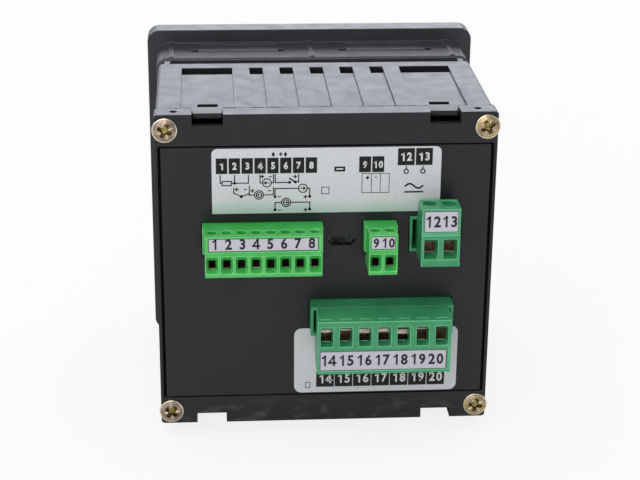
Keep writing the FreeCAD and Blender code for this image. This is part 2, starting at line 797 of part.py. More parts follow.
def funnel(name, x):
    """The tapering way in for a wire, from the front face to the clamp chamber."""
    kind = plugs[name][0]
    inner_y = kind["axis_y"] + kind["cage_depth"] / 2 + plug_play + passage_wall
    outer_y = kind["front_y"] + kind["step_proud"] + overcut
    rings = []
    for y, width, heights in ((inner_y, kind["open_width"], kind["open_h"]),
                              (kind["front_y"], kind["mouth_width"], kind["mouth_h"])):
        low, high = sorted(raised(name, h) for h in heights)
        half = width / 2
        rings.append([vector(x - half, y, low), vector(x + half, y, low),
                      vector(x + half, y, high), vector(x - half, y, high)])
    half = kind["open_width"] / 2
    passage = block_box(name, x - half, x + half, inner_y - overcut, inner_y, *kind["open_h"])
    half = kind["mouth_width"] / 2
    mouth = block_box(name, x - half, x + half, kind["front_y"], outer_y, *kind["mouth_h"])
    return [tapered_block(*rings), passage, mouth]


def clamp_heights(kind):
    """Heights of the cage when open: its underside, floor, ceiling and top, and the shoulder."""
    floor = kind["open_floor_h"]
    underside = floor - kind["cage_floor"]
    ceiling = kind["tab_h"][1] + cage_play
    top = ceiling + kind["cage_top"]
    shoulder = top + kind["travel"] + cage_play
    return underside, floor, ceiling, top, shoulder


def make_plug(name):
    kind, first, ways, centre_x, far_z, side, lifts = plugs[name]
    half = ways * kind["pitch"] / 2 - plug_side_gap
    x0 = centre_x - half
    x1 = centre_x + half
    front = kind["front_y"]
    top = kind["height"]
    body = prism_x(plug_outline(name), x0, x1)
    low_z, high_z = header_outline(name)[2:]
    wall = kind["header_wall"] + nose_clearance
    nose_gap = kind["header_end_wall"] + nose_clearance
    nose_x0 = max(header_outline(name)[0] + nose_gap, x0 + nose_inset)
    nose_x1 = min(header_outline(name)[1] - nose_gap, x1 - nose_inset)
    nose = box(nose_x0, nose_x1, kind["rim_y"] - kind["nose_length"], kind["rim_y"] + overcut,
               low_z + wall, high_z - wall)
    additions = [nose]
    if kind["step_proud"]:
        additions.append(block_box(name, x0, x1, front - overcut, front + kind["step_proud"],
                                   0, kind["step_h"]))
    body = joined(body, additions)
    label_low, label_high = kind["label_h"]
    cuts = [block_box(name, x0 + kind["label_side"], x1 - kind["label_side"],
                      front - kind["label_depth"], front + overcut, label_low, label_high)]
    if kind["lip_h"]:
        cuts.append(block_box(name, x0 - overcut, x1 + overcut,
                              front - lip_groove_depth, front + overcut,
                              kind["lip_h"], kind["lip_h"] + lip_groove_height))
    underside, floor, ceiling, cage_top, shoulder = clamp_heights(kind)
    y = kind["axis_y"]
    half_depth = kind["cage_depth"] / 2 + plug_play
    half_width = kind["cage_width"] / 2 + plug_play
    middle = (low_z + high_z) / 2
    half_pin = kind["pin"] / 2 + pin_clearance
    half_mark = kind["mark_width"] / 2
    mark_y = front - mark_from_front
    if kind["mark_on_far_side"]:
        slope = kind["hood_rise"] / (front - kind["rim_y"] - plug_rim_gap)
        mark_heights = (-overcut, mark_depth - slope * mark_from_front)
    else:
        mark_heights = (top - mark_depth, top + overcut)
    tabs = []
    for x in way_centres(name):
        cuts.append(block_box(name, x - half_width, x + half_width, y - half_depth, y + half_depth,
                              underside - cage_play, shoulder))
        cuts.append(hole_z(x, y, kind["shank_radius"] + shank_play,
                           raised(name, shoulder - chamber_overlap), raised(name, top)))
        cuts.append(hole_z(x, y, kind["bore_radius"],
                           raised(name, shoulder + kind["shoulder"]), raised(name, top + overcut),
                           bore_sides))
        cuts.append(box(x - half_pin, x + half_pin,
                        kind["rim_y"] - kind["nose_length"] - overcut,
                        kind["rim_y"] - socket_stop, middle - half_pin, middle + half_pin))
        cuts.append(block_box(name, x - half_mark, x + half_mark, mark_y - mark_length, mark_y,
                              *mark_heights))
        cuts += funnel(name, x)
        half_tab = kind["tab_width"] / 2
        tabs.append(block_box(name, x - half_tab, x + half_tab,
                              y - half_depth - tab_overlap, y + half_depth + tab_overlap,
                              *kind["tab_h"]))
    return joined(less(body, cuts), tabs)


def make_terminal_screw(name, x):
    """A captive slotted screw: its head turns on the shoulder and its shank lifts the cage."""
    kind = plugs[name][0]
    y = kind["axis_y"]
    shoulder = clamp_heights(kind)[4]
    seat = shoulder + kind["shoulder"]
    tip = kind["tab_h"][1] + screw_play
    head_radius = kind["bore_radius"] - screw_play
    head_top = seat + kind["head_height"]
    head = rod_z(x, y, head_radius, raised(name, seat), raised(name, head_top), head_sides)
    shank = rod_z(x, y, kind["shank_radius"], raised(name, tip), raised(name, seat))
    half_slot = screw_slot_width / 2
    slot = block_box(name, x - head_radius - overcut, x + head_radius + overcut,
                     y - half_slot, y + half_slot,
                     head_top - kind["head_height"] / 2, head_top + overcut)
    return less(joined(head, [shank]), [slot])


def make_clamp_cage(name, x, lift):
    """The rising cage: a square sleeve open to the wire, threaded through its upper wall."""
    kind = plugs[name][0]
    y = kind["axis_y"]
    underside, floor, ceiling, top, shoulder = clamp_heights(kind)
    half_width = kind["cage_width"] / 2
    half_depth = kind["cage_depth"] / 2
    inner = half_width - kind["cage_side"]
    sleeve = block_box(name, x - half_width, x + half_width, y - half_depth, y + half_depth,
                       underside + lift, top + lift)
    window = block_box(name, x - inner, x + inner, y - half_depth - overcut, y + half_depth + overcut,
                       floor + lift, ceiling + lift)
    thread = hole_z(x, y, kind["shank_radius"] + thread_play,
                    raised(name, ceiling + lift - chamber_overlap),
                    raised(name, top + lift + overcut))
    return less(sleeve, [window, thread])


os.makedirs("parts", exist_ok=True)
save("front_bezel", make_bezel())
save("display_window", make_lens())
save("display_module", make_display_module())
for number, x in enumerate(key_centres(), 1):
    save("key_%d" % number, make_key(x))
save("front_board", make_front_board())
save("case_body", make_case())
save("rear_cover", make_cover())
save("cover_screws", make_cover_screws())
save("upper_board", make_upper_board())
save("lower_board", make_lower_board())
save("transformer", make_transformer())
save("relays", make_relays())
save("usb_socket", make_usb_socket())
save("signal_headers", Part.makeCompound([make_header("plug_1_8"), make_header("plug_9_10")]))
save("power_headers", Part.makeCompound([make_header("plug_12_13"), make_header("plug_14_20")]))
for name, (kind, first, ways, centre_x, far_z, side, lifts) in plugs.items():
    save(name, make_plug(name))
    for number, x in enumerate(way_centres(name)):
        terminal = first + number
        save("terminal_screw_%d" % terminal, make_terminal_screw(name, x))
        save("clamp_cage_%d" % terminal, make_clamp_cage(name, x, lifts[number]))
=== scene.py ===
import json
import math
import bpy
from mathutils import Matrix, Vector

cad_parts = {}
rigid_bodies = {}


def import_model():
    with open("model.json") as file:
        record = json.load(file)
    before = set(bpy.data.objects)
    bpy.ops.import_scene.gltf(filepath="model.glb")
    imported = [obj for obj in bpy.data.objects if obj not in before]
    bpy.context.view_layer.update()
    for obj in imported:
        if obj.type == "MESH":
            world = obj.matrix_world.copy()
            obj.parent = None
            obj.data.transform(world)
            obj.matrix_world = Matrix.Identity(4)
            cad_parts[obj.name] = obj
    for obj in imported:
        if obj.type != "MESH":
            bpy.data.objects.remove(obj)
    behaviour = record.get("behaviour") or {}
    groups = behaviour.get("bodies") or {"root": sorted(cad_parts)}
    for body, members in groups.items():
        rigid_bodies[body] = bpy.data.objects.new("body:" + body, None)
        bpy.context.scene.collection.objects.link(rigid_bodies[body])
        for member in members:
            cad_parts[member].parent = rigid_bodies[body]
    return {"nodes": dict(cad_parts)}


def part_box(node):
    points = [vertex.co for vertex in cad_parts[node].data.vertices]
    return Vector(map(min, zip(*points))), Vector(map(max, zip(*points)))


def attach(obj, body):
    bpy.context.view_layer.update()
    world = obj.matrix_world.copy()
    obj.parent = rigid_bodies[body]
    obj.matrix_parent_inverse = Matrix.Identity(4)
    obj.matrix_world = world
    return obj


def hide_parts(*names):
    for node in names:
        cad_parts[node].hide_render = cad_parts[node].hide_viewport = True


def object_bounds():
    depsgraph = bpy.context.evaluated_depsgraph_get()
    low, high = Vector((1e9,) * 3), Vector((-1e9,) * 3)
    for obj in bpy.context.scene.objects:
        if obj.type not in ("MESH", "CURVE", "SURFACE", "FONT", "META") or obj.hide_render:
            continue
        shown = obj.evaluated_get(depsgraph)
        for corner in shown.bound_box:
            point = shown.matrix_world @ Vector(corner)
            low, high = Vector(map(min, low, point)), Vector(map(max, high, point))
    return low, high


# dressed model of the panel controller, seen from its terminal side
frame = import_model()
cadLow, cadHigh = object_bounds()
mm = 0.001
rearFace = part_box("rear_cover")[1][1] / mm  # along Y, in mm
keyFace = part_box("key_1")[0][1] / mm
edgeShading = {"bevelAbove": 30, "smoothBelow": 35, "weight": 80}  # angles in degrees
mergeReach = 0.004  # mm
print("frame loaded,", len(frame["nodes"]), "nodes")


# small helpers for working as by hand

def deselectAll():
    for item in bpy.context.selected_objects:
        item.select_set(False)


def pick(piece):
    deselectAll()
    piece.select_set(True)
    bpy.context.view_layer.objects.active = piece


def editAll(piece):
    pick(piece)
    bpy.ops.object.mode_set(mode="EDIT")
    bpy.ops.mesh.select_all(action="SELECT")


def leaveEdit():
    bpy.ops.object.mode_set(mode="OBJECT")


def editFaces(piece, test):  # opens edit mode with only the faces that pass the test selected
    pick(piece)
    bpy.ops.object.mode_set(mode="EDIT")
    bpy.ops.mesh.select_mode(type="FACE")
    bpy.ops.mesh.select_all(action="DESELECT")
    bpy.ops.object.mode_set(mode="OBJECT")
    for face in piece.data.polygons:
        face.select = test(face)
    bpy.ops.object.mode_set(mode="EDIT")


def applyModifiers(piece):
    pick(piece)
    for modifier in list(piece.modifiers):
        bpy.ops.object.modifier_apply(modifier=modifier.name)


def applyPlace(piece):
    pick(piece)
    bpy.ops.object.transform_apply(location=True, rotation=True, scale=True)


def joinPieces(parts, name):
    deselectAll()
    for part in parts:
        part.select_set(True)
    bpy.context.view_layer.objects.active = parts[0]
    if len(parts) > 1:
        bpy.ops.object.join()
    piece = bpy.context.view_layer.objects.active
    piece.name = name
    piece.data.name = name
    return piece


def softenEdges(piece, width, steps=2, sharp=edgeShading["bevelAbove"], highlightSlot=-1):
    bevel = piece.modifiers.new("softEdges", "BEVEL")
    bevel.width = width * mm
    bevel.segments = steps
    bevel.limit_method = "ANGLE"
    bevel.angle_limit = math.radians(sharp)
    bevel.use_clamp_overlap = False
    bevel.material = highlightSlot
    applyModifiers(piece)
    bpy.ops.object.shade_smooth_by_angle(angle=math.radians(edgeShading["smoothBelow"]))
    even = piece.modifiers.new("evenShading", "WEIGHTED_NORMAL")
    even.keep_sharp = True
    even.weight = edgeShading["weight"]
    applyModifiers(piece)


def dress(piece, finish, bodyName):
    if piece.data.materials:
        piece.data.materials[0] = finish
    else:
        piece.data.materials.append(finish)
    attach(piece, bodyName)


# finishes

def linear(hexColour):
    parts = [int(hexColour[i:i + 2], 16) / 255 for i in (1, 3, 5)]
    return [c / 12.92 if c <= 0.04045 else ((c + 0.055) / 1.055) ** 2.4 for c in parts] + [1.0]


def newFinish(name, roughness, metallic, specular=0.5):
    finish = bpy.data.materials.new(name)
    finish.use_nodes = True
    shader = finish.node_tree.nodes["Principled BSDF"]
    shader.inputs["Roughness"].default_value = roughness
    shader.inputs["Metallic"].default_value = metallic
    shader.inputs["Specular IOR Level"].default_value = specular
    return finish, finish.node_tree, shader


def noiseOf(tree, size, detail=3.0, stretch=(1, 1, 1), shift=(0, 0, 0)):  # size of a blotch in mm
    coords = tree.nodes.new("ShaderNodeTexCoord")
    mapping = tree.nodes.new("ShaderNodeMapping")
    mapping.inputs["Scale"].default_value = stretch
    mapping.inputs["Location"].default_value = shift
    noise = tree.nodes.new("ShaderNodeTexNoise")
    noise.inputs["Scale"].default_value = 1 / (size * mm)
    noise.inputs["Detail"].default_value = detail
    tree.links.new(coords.outputs["Object"], mapping.inputs["Vector"])
    tree.links.new(mapping.outputs["Vector"], noise.inputs["Vector"])
    return noise.outputs["Fac"]


def remap(tree, value, low, high, toLow, toHigh):
    node = tree.nodes.new("ShaderNodeMapRange")
    node.inputs["From Min"].default_value = low
    node.inputs["From Max"].default_value = high
    node.inputs["To Min"].default_value = toLow
    node.inputs["To Max"].default_value = toHigh
    tree.links.new(value, node.inputs["Value"])
    return node.outputs["Result"]


def blendColours(tree, factor, first, second):
    node = tree.nodes.new("ShaderNodeMix")
    node.data_type = "RGBA"
    tree.links.new(factor, node.inputs["Factor"])
    for socket, colour in ((node.inputs[6], first), (node.inputs[7], second)):
        if isinstance(colour, str):
            socket.default_value = linear(colour)
        else:
            tree.links.new(colour, socket)
    return node.outputs[2]


def calculate(tree, operation, first, second=None):  # second may be a number
    node = tree.nodes.new("ShaderNodeMath")
    node.operation = operation
    tree.links.new(first, node.inputs[0])
    if isinstance(second, (int, float)):
        node.inputs[1].default_value = second
    elif second is not None:
        tree.links.new(second, node.inputs[1])
    return node.outputs[0]


def bumpFrom(tree, value, depth, under=None):  # depth in mm
    node = tree.nodes.new("ShaderNodeBump")
    node.inputs["Distance"].default_value = depth * mm
    node.inputs["Strength"].default_value = 1.0
    tree.links.new(value, node.inputs["Height"])
    if under is not None:
        tree.links.new(under, node.inputs["Normal"])
    return node.outputs["Normal"]


def specksOf(tree, spacing, size):  # 1 on tiny scattered dots
    coords = tree.nodes.new("ShaderNodeTexCoord")
    cells = tree.nodes.new("ShaderNodeTexVoronoi")
    cells.inputs["Scale"].default_value = 1 / (spacing * mm)
    tree.links.new(coords.outputs["Object"], cells.inputs["Vector"])
    return remap(tree, cells.outputs["Distance"], size / spacing * 0.6, size / spacing, 1.0, 0.0)


def placeOf(tree, axis):  # the object coordinate along one axis
    coords = tree.nodes.new("ShaderNodeTexCoord")
    parts = tree.nodes.new("ShaderNodeSeparateXYZ")
    tree.links.new(coords.outputs["Object"], parts.inputs["Vector"])
    return parts.outputs[axis]


def paintedSeamShadow(tree, seam, reach):  # 1 in an uneven painted shadow line along a seam across Y, in mm
    thin, thick = reach
    softness = 0.06 * mm
    away = calculate(tree, "ABSOLUTE", calculate(tree, "SUBTRACT", placeOf(tree, "Y"), seam * mm))
    blotches = noiseOf(tree, 4.0, 3.0, shift=(0.004, 0, 0))
    uneven = remap(tree, blotches, 0.35, 0.68, thin * mm, thick * mm)
    edge = calculate(tree, "SUBTRACT", away, uneven)
    return remap(tree, edge, -softness, softness, 1.0, 0.0)


def dusty(tree, colour, spacing):  # tiny pale specks in patches
    dots = specksOf(tree, spacing, 0.11)
    patches = remap(tree, noiseOf(tree, 9.0, shift=(0.01, 0, 0)), 0.5, 0.62, 0.0, 0.75)
    return blendColours(tree, calculate(tree, "MULTIPLY", dots, patches), colour, "#9a9a9c")


def scuffed(tree, colour, height):  # pale scuffs below a height in mm
    low = remap(tree, placeOf(tree, "Z"), (height + 1) * mm, (height - 2) * mm, 0.0, 0.3)
    blotches = noiseOf(tree, 5.0, 6.0, (1, 1, 2.2), (0.007, 0, 0))
    rubbed = remap(tree, blotches, 0.52, 0.72, 0.0, 1.0)
    return blendColours(tree, calculate(tree, "MULTIPLY", low, rubbed), colour, "#6b6b6d")


def mouldedPlastic(name, dark, light, look):
    finish, tree, shader = newFinish(name, look["rough"], 0.0, look["specular"])
    tone = remap(tree, noiseOf(tree, look["drift"]), 0.3, 0.7, 0.0, 1.0)
    colour = blendColours(tree, tone, dark, light)
    if look.get("dust"):
        colour = dusty(tree, colour, look["dust"])
    if look.get("scuffsBelow"):
        colour = scuffed(tree, colour, look["scuffsBelow"])
    # painted shadow along the seam: darker colour and no specular on it
    if look.get("seam"):
        seamShadow = paintedSeamShadow(tree, *look["seam"])
        colour = blendColours(tree, seamShadow, colour, "#060606")
        dull = remap(tree, seamShadow, 0.0, 1.0, look["specular"], 0.0)
        tree.links.new(dull, shader.inputs["Specular IOR Level"])
    tree.links.new(colour, shader.inputs["Base Color"])
    spread = look["roughSpread"]
    worn = remap(tree, noiseOf(tree, look["drift"] * 0.35, 4.0, shift=(0.02, 0.01, 0)), 0.3, 0.7,
                 look["rough"] - spread, look["rough"] + spread)
    if look.get("topShine"):  # smoother above a height: the handled top face
        height, change = look["topShine"]
        above = remap(tree, placeOf(tree, "Z"), (height - 0.1) * mm, height * mm, 0.0, change)
        worn = calculate(tree, "ADD", worn, above)
    tree.links.new(worn, shader.inputs["Roughness"])
    grain = bumpFrom(tree, noiseOf(tree, look["grain"], 2.0), look["grainDepth"])
    waves = noiseOf(tree, look["flow"], 1.0, look.get("stretch", (1, 1, 1)))
    tree.links.new(bumpFrom(tree, waves, look["flowDepth"], grain), shader.inputs["Normal"])
    return finish


def brushedMetal(name, dark, light, look):
    finish, tree, shader = newFinish(name, look["rough"], 1.0)
    tone = remap(tree, noiseOf(tree, look["drift"], 4.0, look["stretch"]), 0.35, 0.65, 0.0, 1.0)
    tree.links.new(blendColours(tree, tone, dark, light), shader.inputs["Base Color"])
    spread = look["roughSpread"]
    worn = remap(tree, noiseOf(tree, look["drift"] * 0.5, 3.0, shift=(0.03, 0, 0)), 0.3, 0.7,
                 look["rough"] - spread, look["rough"] + spread)
    tree.links.new(worn, shader.inputs["Roughness"])
    scratches = noiseOf(tree, look["grain"], 2.0, look["stretch"])
    tree.links.new(bumpFrom(tree, scratches, look["grainDepth"]), shader.inputs["Normal"])
    return finish


def printedInk(name, dark, light):
    finish, tree, shader = newFinish(name, 0.55, 0.0, 0.3)
    tone = remap(tree, noiseOf(tree, 0.35, 3.0), 0.35, 0.65, 0.0, 1.0)
    tree.links.new(blendColours(tree, tone, dark, light), shader.inputs["Base Color"])
    tree.links.new(bumpFrom(tree, noiseOf(tree, 0.12), 0.004), shader.inputs["Normal"])
    return finish


# rough: middle roughness; drift, grain and flow: blotch sizes in mm; depths in mm
housingLook = {"rough": 0.33, "roughSpread": 0.04, "specular": 0.5, "drift": 14.0, "grain": 0.16,
               "grainDepth": 0.005, "flow": 12.0, "flowDepth": 0.06, "stretch": (1, 0.2, 1),
               "dust": 2.6}
ribFreeLook = dict(housingLook, rough=0.4, specular=0.42, grain=0.2, dust=2.2, stretch=(1, 1, 1),
                   flow=22.0)
# seam: a painted shadow line along the cover's front edge, its Y and thinnest and widest reach in
# mm
coverLook = dict(ribFreeLook, scuffsBelow=-38.0, topShine=(44.0, -0.085), seam=(65.0, (0.1, 0.7)))
trimLook = dict(ribFreeLook, grain=0.22, grainDepth=0.008, dust=None)
bezelLook = dict(trimLook, rough=0.45, topShine=(47.9, -0.12))
greenLook = {"rough": 0.3, "roughSpread": 0.05, "specular": 0.55, "drift": 6.0, "grain": 0.14,
             "grainDepth": 0.004, "flow": 5.0, "flowDepth": 0.04}
keyLook = dict(trimLook, rough=0.4, grain=0.15)
boxLook = dict(trimLook, rough=0.35, grain=0.3)
grooveLook = dict(ribFreeLook, rough=0.8, specular=0.1)
stampedLook = {"rough": 0.3, "roughSpread": 0.08, "drift": 1.4, "stretch": (1, 1, 5),
               "grain": 0.1, "grainDepth": 0.004}

casePlastic = mouldedPlastic("casePlastic", "#1b1b1f", "#212126", housingLook)
coverPlastic = mouldedPlastic("coverPlastic", "#16151b", "#1c1b22", coverLook)
bezelPlastic = mouldedPlastic("bezelPlastic", "#2d2d32", "#36363c", bezelLook)
keyRubber = mouldedPlastic("keyCaps", "#6d7074", "#777a7e", keyLook)
displayShell = mouldedPlastic("displayShell", "#2b2c2f", "#36373a", keyLook)
relayCase = mouldedPlastic("relayCases", "#17181a", "#202123", boxLook)
# grooveShade: near-black painted shade for the rear cover's groove floors
grooveShade = mouldedPlastic("grooveShade", "#050506", "#09090b", grooveLook)
# lighter copies of the plastics for the softened edges below: a painted highlight
bezelEdgeHighlight = mouldedPlastic("wornDarkEdges", "#3c3d42", "#48494f", dict(trimLook, rough=0.26))
signalGreen = mouldedPlastic("signalPlugGreen", "#3bb34e", "#48c05b", greenLook)
signalEdgeHighlight = mouldedPlastic("signalPlugEdges", "#74d680", "#86df91", dict(greenLook, rough=0.2))
powerGreen = mouldedPlastic("powerPlugGreen", "#358e5d", "#419c6a", dict(greenLook, rough=0.34))
powerEdgeHighlight = mouldedPlastic("powerPlugEdges", "#5fbf8c", "#74cb9c", dict(greenLook, rough=0.24))
screwSteel = brushedMetal("terminalScrewSteel", "#8b8a86", "#b9b8b4",
                          dict(stampedLook, stretch=(4, 1, 1)))
cageMetal = brushedMetal("clampCageMetal", "#a08c80", "#d6c8bf", stampedLook)
# the signal contacts' near-black colour is painted shade deep in the small plugs' openings
signalContact = brushedMetal("signalContacts", "#16130f", "#2a241f", dict(stampedLook, rough=0.5))
powerContact = brushedMetal("powerContacts", "#4f4235", "#8a7a69",
                            dict(stampedLook, rough=0.36, stretch=(1, 1, 1.6)))
tinnedShell = brushedMetal("tinnedShell", "#9c9fa3", "#c4c7cb",
                           dict(stampedLook, stretch=(1, 4, 1)))
coreSteel = brushedMetal("coreLaminations", "#3f3d3a", "#57544f",
                         dict(stampedLook, rough=0.5, stretch=(1, 12, 1)))


def yellowZincFinish(name, bright, dull, stainColour, rough, gilded=0.1):  # gilded towards -X
    finish, tree, shader = newFinish(name, rough, 1.0)
    film = remap(tree, noiseOf(tree, 2.4, 3.0), 0.38, 0.62, 0.0, 1.0)
    golden = remap(tree, placeOf(tree, "X"), 30 * mm, -40 * mm, 0.0, gilded)
    warm = blendColours(tree, golden, blendColours(tree, film, bright, dull), "#cdb77e")
    stain = remap(tree, noiseOf(tree, 1.1, 4.0, shift=(0.004, 0, 0.002)), 0.5, 0.66, 0.0, 0.85)
    tree.links.new(blendColours(tree, stain, warm, stainColour), shader.inputs["Base Color"])
    worn = remap(tree, noiseOf(tree, 0.8, 4.0), 0.3, 0.7, rough - 0.08, rough + 0.1)
    tree.links.new(worn, shader.inputs["Roughness"])
    tree.links.new(bumpFrom(tree, noiseOf(tree, 0.25, 3.0), 0.01), shader.inputs["Normal"])
    return finish


def boardFinish():
    finish, tree, shader = newFinish("boardLacquer", 0.3, 0.0, 0.5)
    weave = tree.nodes.new("ShaderNodeTexBrick")
    coords = tree.nodes.new("ShaderNodeTexCoord")
    weave.inputs["Scale"].default_value = 900
    weave.inputs["Color1"].default_value = linear("#1f5a35")
    weave.inputs["Color2"].default_value = linear("#246540")
    weave.inputs["Mortar"].default_value = linear("#19492c")
    tree.links.new(coords.outputs["Object"], weave.inputs["Vector"])
    tone = remap(tree, noiseOf(tree, 7.0), 0.35, 0.65, 0.0, 0.5)
    lacquer = blendColours(tree, tone, weave.outputs["Color"], "#174428")
    tree.links.new(lacquer, shader.inputs["Base Color"])
    tree.links.new(bumpFrom(tree, noiseOf(tree, 0.4), 0.01), shader.inputs["Normal"])
    return finish


def windowFinish():
    finish, tree, shader = newFinish("smokedWindow", 0.06, 0.0, 0.5)
    tone = remap(tree, noiseOf(tree, 30.0), 0.3, 0.7, 0.0, 1.0)
    tree.links.new(blendColours(tree, tone, "#6b4a45", "#77544e"), shader.inputs["Base Color"])
    wiped = remap(tree, noiseOf(tree, 12.0), 0.3, 0.7, 0.04, 0.1)
    tree.links.new(wiped, shader.inputs["Roughness"])
    tree.links.new(bumpFrom(tree, noiseOf(tree, 18.0), 0.02), shader.inputs["Normal"])
    shader.inputs["Transmission Weight"].default_value = 0.92
    return finish


def labelFinish(name, plain, tinted, low, high):  # tinted below low, plain above high, in mm
    finish, tree, shader = newFinish(name, 0.42, 0.0, 0.35)
    height = remap(tree, placeOf(tree, "Z"), low * mm, high * mm, 1.0, 0.0)
    sheet = blendColours(tree, height, plain, tinted)
    fibre = remap(tree, noiseOf(tree, 0.5, 4.0), 0.35, 0.65, 0.0, 0.25)
    tree.links.new(blendColours(tree, fibre, sheet, "#b5b8bb"), shader.inputs["Base Color"])
    tree.links.new(remap(tree, noiseOf(tree, 5.0), 0.3, 0.7, 0.38, 0.5), shader.inputs["Roughness"])
    tree.links.new(bumpFrom(tree, noiseOf(tree, 0.3), 0.004), shader.inputs["Normal"])
    return finish


zincYellow = yellowZincFinish("yellowZinc", "#b5a386", "#968272", "#8c7680", 0.3, 0.6)
# the near-white rim finish is a painted highlight on the heads' rims and ticks
zincRimHighlight = yellowZincFinish("yellowZincRims", "#f4ecd8", "#e6dabd", "#d8cfc0", 0.2)
zincRecess = yellowZincFinish("yellowZincRecesses", "#6e5534", "#4c3726", "#2b1d14", 0.4)
zincCentre = yellowZincFinish("yellowZincCentres", "#8f8440", "#6a5c33", "#c9be78", 0.3)
boardLacquer = boardFinish()
smokedWindow = windowFinish()
# the green tint low on the upper label is painted bounce light from the green plugs below
upperPaper = labelFinish("upperLabelFilm", "#d8dadf", "#acc6b7", 16.8, 20.8)
lowerPaper = labelFinish("lowerLabelFilm", "#d4d5d9", "#cfd0d4", -36.0, -20.0)
stripPaper = labelFinish("markerStripFilm", "#cdc9d4", "#c6c2cd", -30.0, 20.0)
blackInk = printedInk("blackInk", "#101112", "#191a1b")
whiteInk = printedInk("whiteNumbers", "#e6e8e8", "#d6d8d8")
keyInk = printedInk("keyMarks", "#e2e4e6", "#d2d4d6")
unlitSegments = mouldedPlastic("unlitSegments", "#99938c", "#a8a29b", dict(keyLook, rough=0.3))
markerInkAndShade = printedInk("markerDigits", "#22222b", "#2d2d36")

finishes = {
    "bezel_plastic": bezelPlastic, "case_plastic": casePlastic, "window_tint": smokedWindow,
    "display_grey": displayShell, "key_grey": keyRubber, "board_green": boardLacquer,
    "zinc_yellow": zincYellow, "transformer_core": coreSteel, "relay_black": relayCase,
    "tinned_shell": tinnedShell, "signal_green": signalGreen, "power_green": powerGreen,
    "screw_steel": screwSteel, "cage_metal": cageMetal,
}
nodeSlots = {}
for nodeName, node in frame["nodes"].items():
    nodeSlots[nodeName] = node.data.materials[0].name.split(".")[0]
    node.material_slots[0].material = finishes[nodeSlots[nodeName]]
print("finishes made")


# moulded pieces with softened edges

softPieces = {  # node: edge radius in mm, steps
    "case_body": (0.2, 2), "rear_cover": (0.1, 2), "front_bezel": (0.22, 2),
    "plug_1_8": (0.12, 2), "plug_9_10": (0.12, 2), "plug_12_13": (0.16, 2), "plug_14_20": (0.16, 2),
    "signal_headers": (0.12, 2), "power_headers": (0.15, 2),
    "key_1": (0.3, 3), "key_2": (0.3, 3), "key_3": (0.3, 3), "key_4": (0.3, 3),
    "usb_socket": (0.06, 2), "relays": (0.4, 3),
}
edgeHighlightFinishes = {  # nodes whose softened edges get a lighter finish: a painted highlight
    "plug_1_8": signalEdgeHighlight, "plug_9_10": signalEdgeHighlight, "signal_headers": signalEdgeHighlight,
    "plug_12_13": powerEdgeHighlight, "plug_14_20": powerEdgeHighlight,
    "front_bezel": bezelEdgeHighlight,
}


def bodyOf(nodeName):
    return frame["nodes"][nodeName].parent.name.split(":")[1]


keyDish = {"rim": 0.9, "depth": 0.15}
coverGroove = {"deepest": 0.9, "shallowest": 0.05}  # below the rear face, in mm


def dishKey(piece):  # a shallow dish in the cap's front face, for the fingertip
    front = (keyFace + 0.05) * mm
    editFaces(piece, lambda face: face.normal.y < -0.9 and face.center.y < front)
    bpy.ops.mesh.inset(thickness=keyDish["rim"] * mm)
    bpy.ops.transform.translate(value=(0, keyDish["depth"] * mm, 0))
    leaveEdit()


def softCopy(nodeName):
    source = frame["nodes"][nodeName]
    piece = bpy.data.objects.new(nodeName + "_dressed", source.data.copy())
    bpy.context.collection.objects.link(piece)
    editAll(piece)
    bpy.ops.mesh.customdata_custom_splitnormals_clear()
    bpy.ops.mesh.remove_doubles(threshold=mergeReach * mm)
    bpy.ops.mesh.normals_make_consistent(inside=False)
    leaveEdit()
    if nodeName.startswith("key_"):
        dishKey(piece)
    edge, steps = softPieces[nodeName]
    slotName = nodeSlots[nodeName]
    # the softened edges of these pieces take the lighter edge finish, a painted highlight
    highlightSlot = -1
    if nodeName in edgeHighlightFinishes:
        piece.data.materials.append(edgeHighlightFinishes[nodeName])
        highlightSlot = 1
    # the rear cover's groove floors get grooveShade, a painted shade
    if nodeName == "rear_cover":
        piece.data.materials.append(grooveShade)
        for face in piece.data.polygons:
            sunk = rearFace - face.center.y / mm
            if face.normal.y > 0.9 and coverGroove["shallowest"] < sunk < coverGroove["deepest"]:
                face.material_index = 1
    softenEdges(piece, edge, steps, highlightSlot=highlightSlot)
    dress(piece, finishes[slotName], bodyOf(nodeName))
    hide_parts(nodeName)
    return piece


dressed = {nodeName: softCopy(nodeName) for nodeName in softPieces}
dressed["rear_cover"].data.materials[0] = coverPlastic
print("moulded pieces softened")


# flat drawing: shapes are drawn on a sheet (x to the right, y up, mm) and laid on a face

onRear = Matrix(((-1, 0, 0, 0), (0, 0, 1, 0), (0, 1, 0, 0), (0, 0, 0, 1)))
onFront = Matrix(((1, 0, 0, 0), (0, 0, -1, 0), (0, 1, 0, 0), (0, 0, 0, 1)))


def bar(x, y, width, height, turn=0.0):
    bpy.ops.mesh.primitive_plane_add(size=1, location=(x * mm, y * mm, 0), rotation=(0, 0, turn))
    piece = bpy.context.object
    piece.scale = (width * mm, height * mm, 1)
    return piece


def stroke(points, width):
    parts = []
    for (x0, y0), (x1, y1) in zip(points, points[1:]):
        length = math.hypot(x1 - x0, y1 - y0) + width
        parts.append(bar((x0 + x1) / 2, (y0 + y1) / 2, length, width, math.atan2(y1 - y0, x1 - x0)))
    return parts


def disc(x, y, radius):
    bpy.ops.mesh.primitive_circle_add(vertices=20, radius=radius * mm, fill_type="NGON",
                                      location=(x * mm, y * mm, 0))
    return bpy.context.object


def ring(x, y, radius, width):
    bpy.ops.mesh.primitive_circle_add(vertices=36, radius=radius * mm, fill_type="NGON",
                                      location=(x * mm, y * mm, 0))
    piece = bpy.context.object
    editAll(piece)
    bpy.ops.mesh.inset(thickness=width * mm)
    bpy.ops.mesh.delete(type="FACE")
    leaveEdit()
    return piece


def frameOf(x0, x1, y0, y1, width):
    return stroke([(x0, y0), (x1, y0), (x1, y1), (x0, y1), (x0, y0)], width)


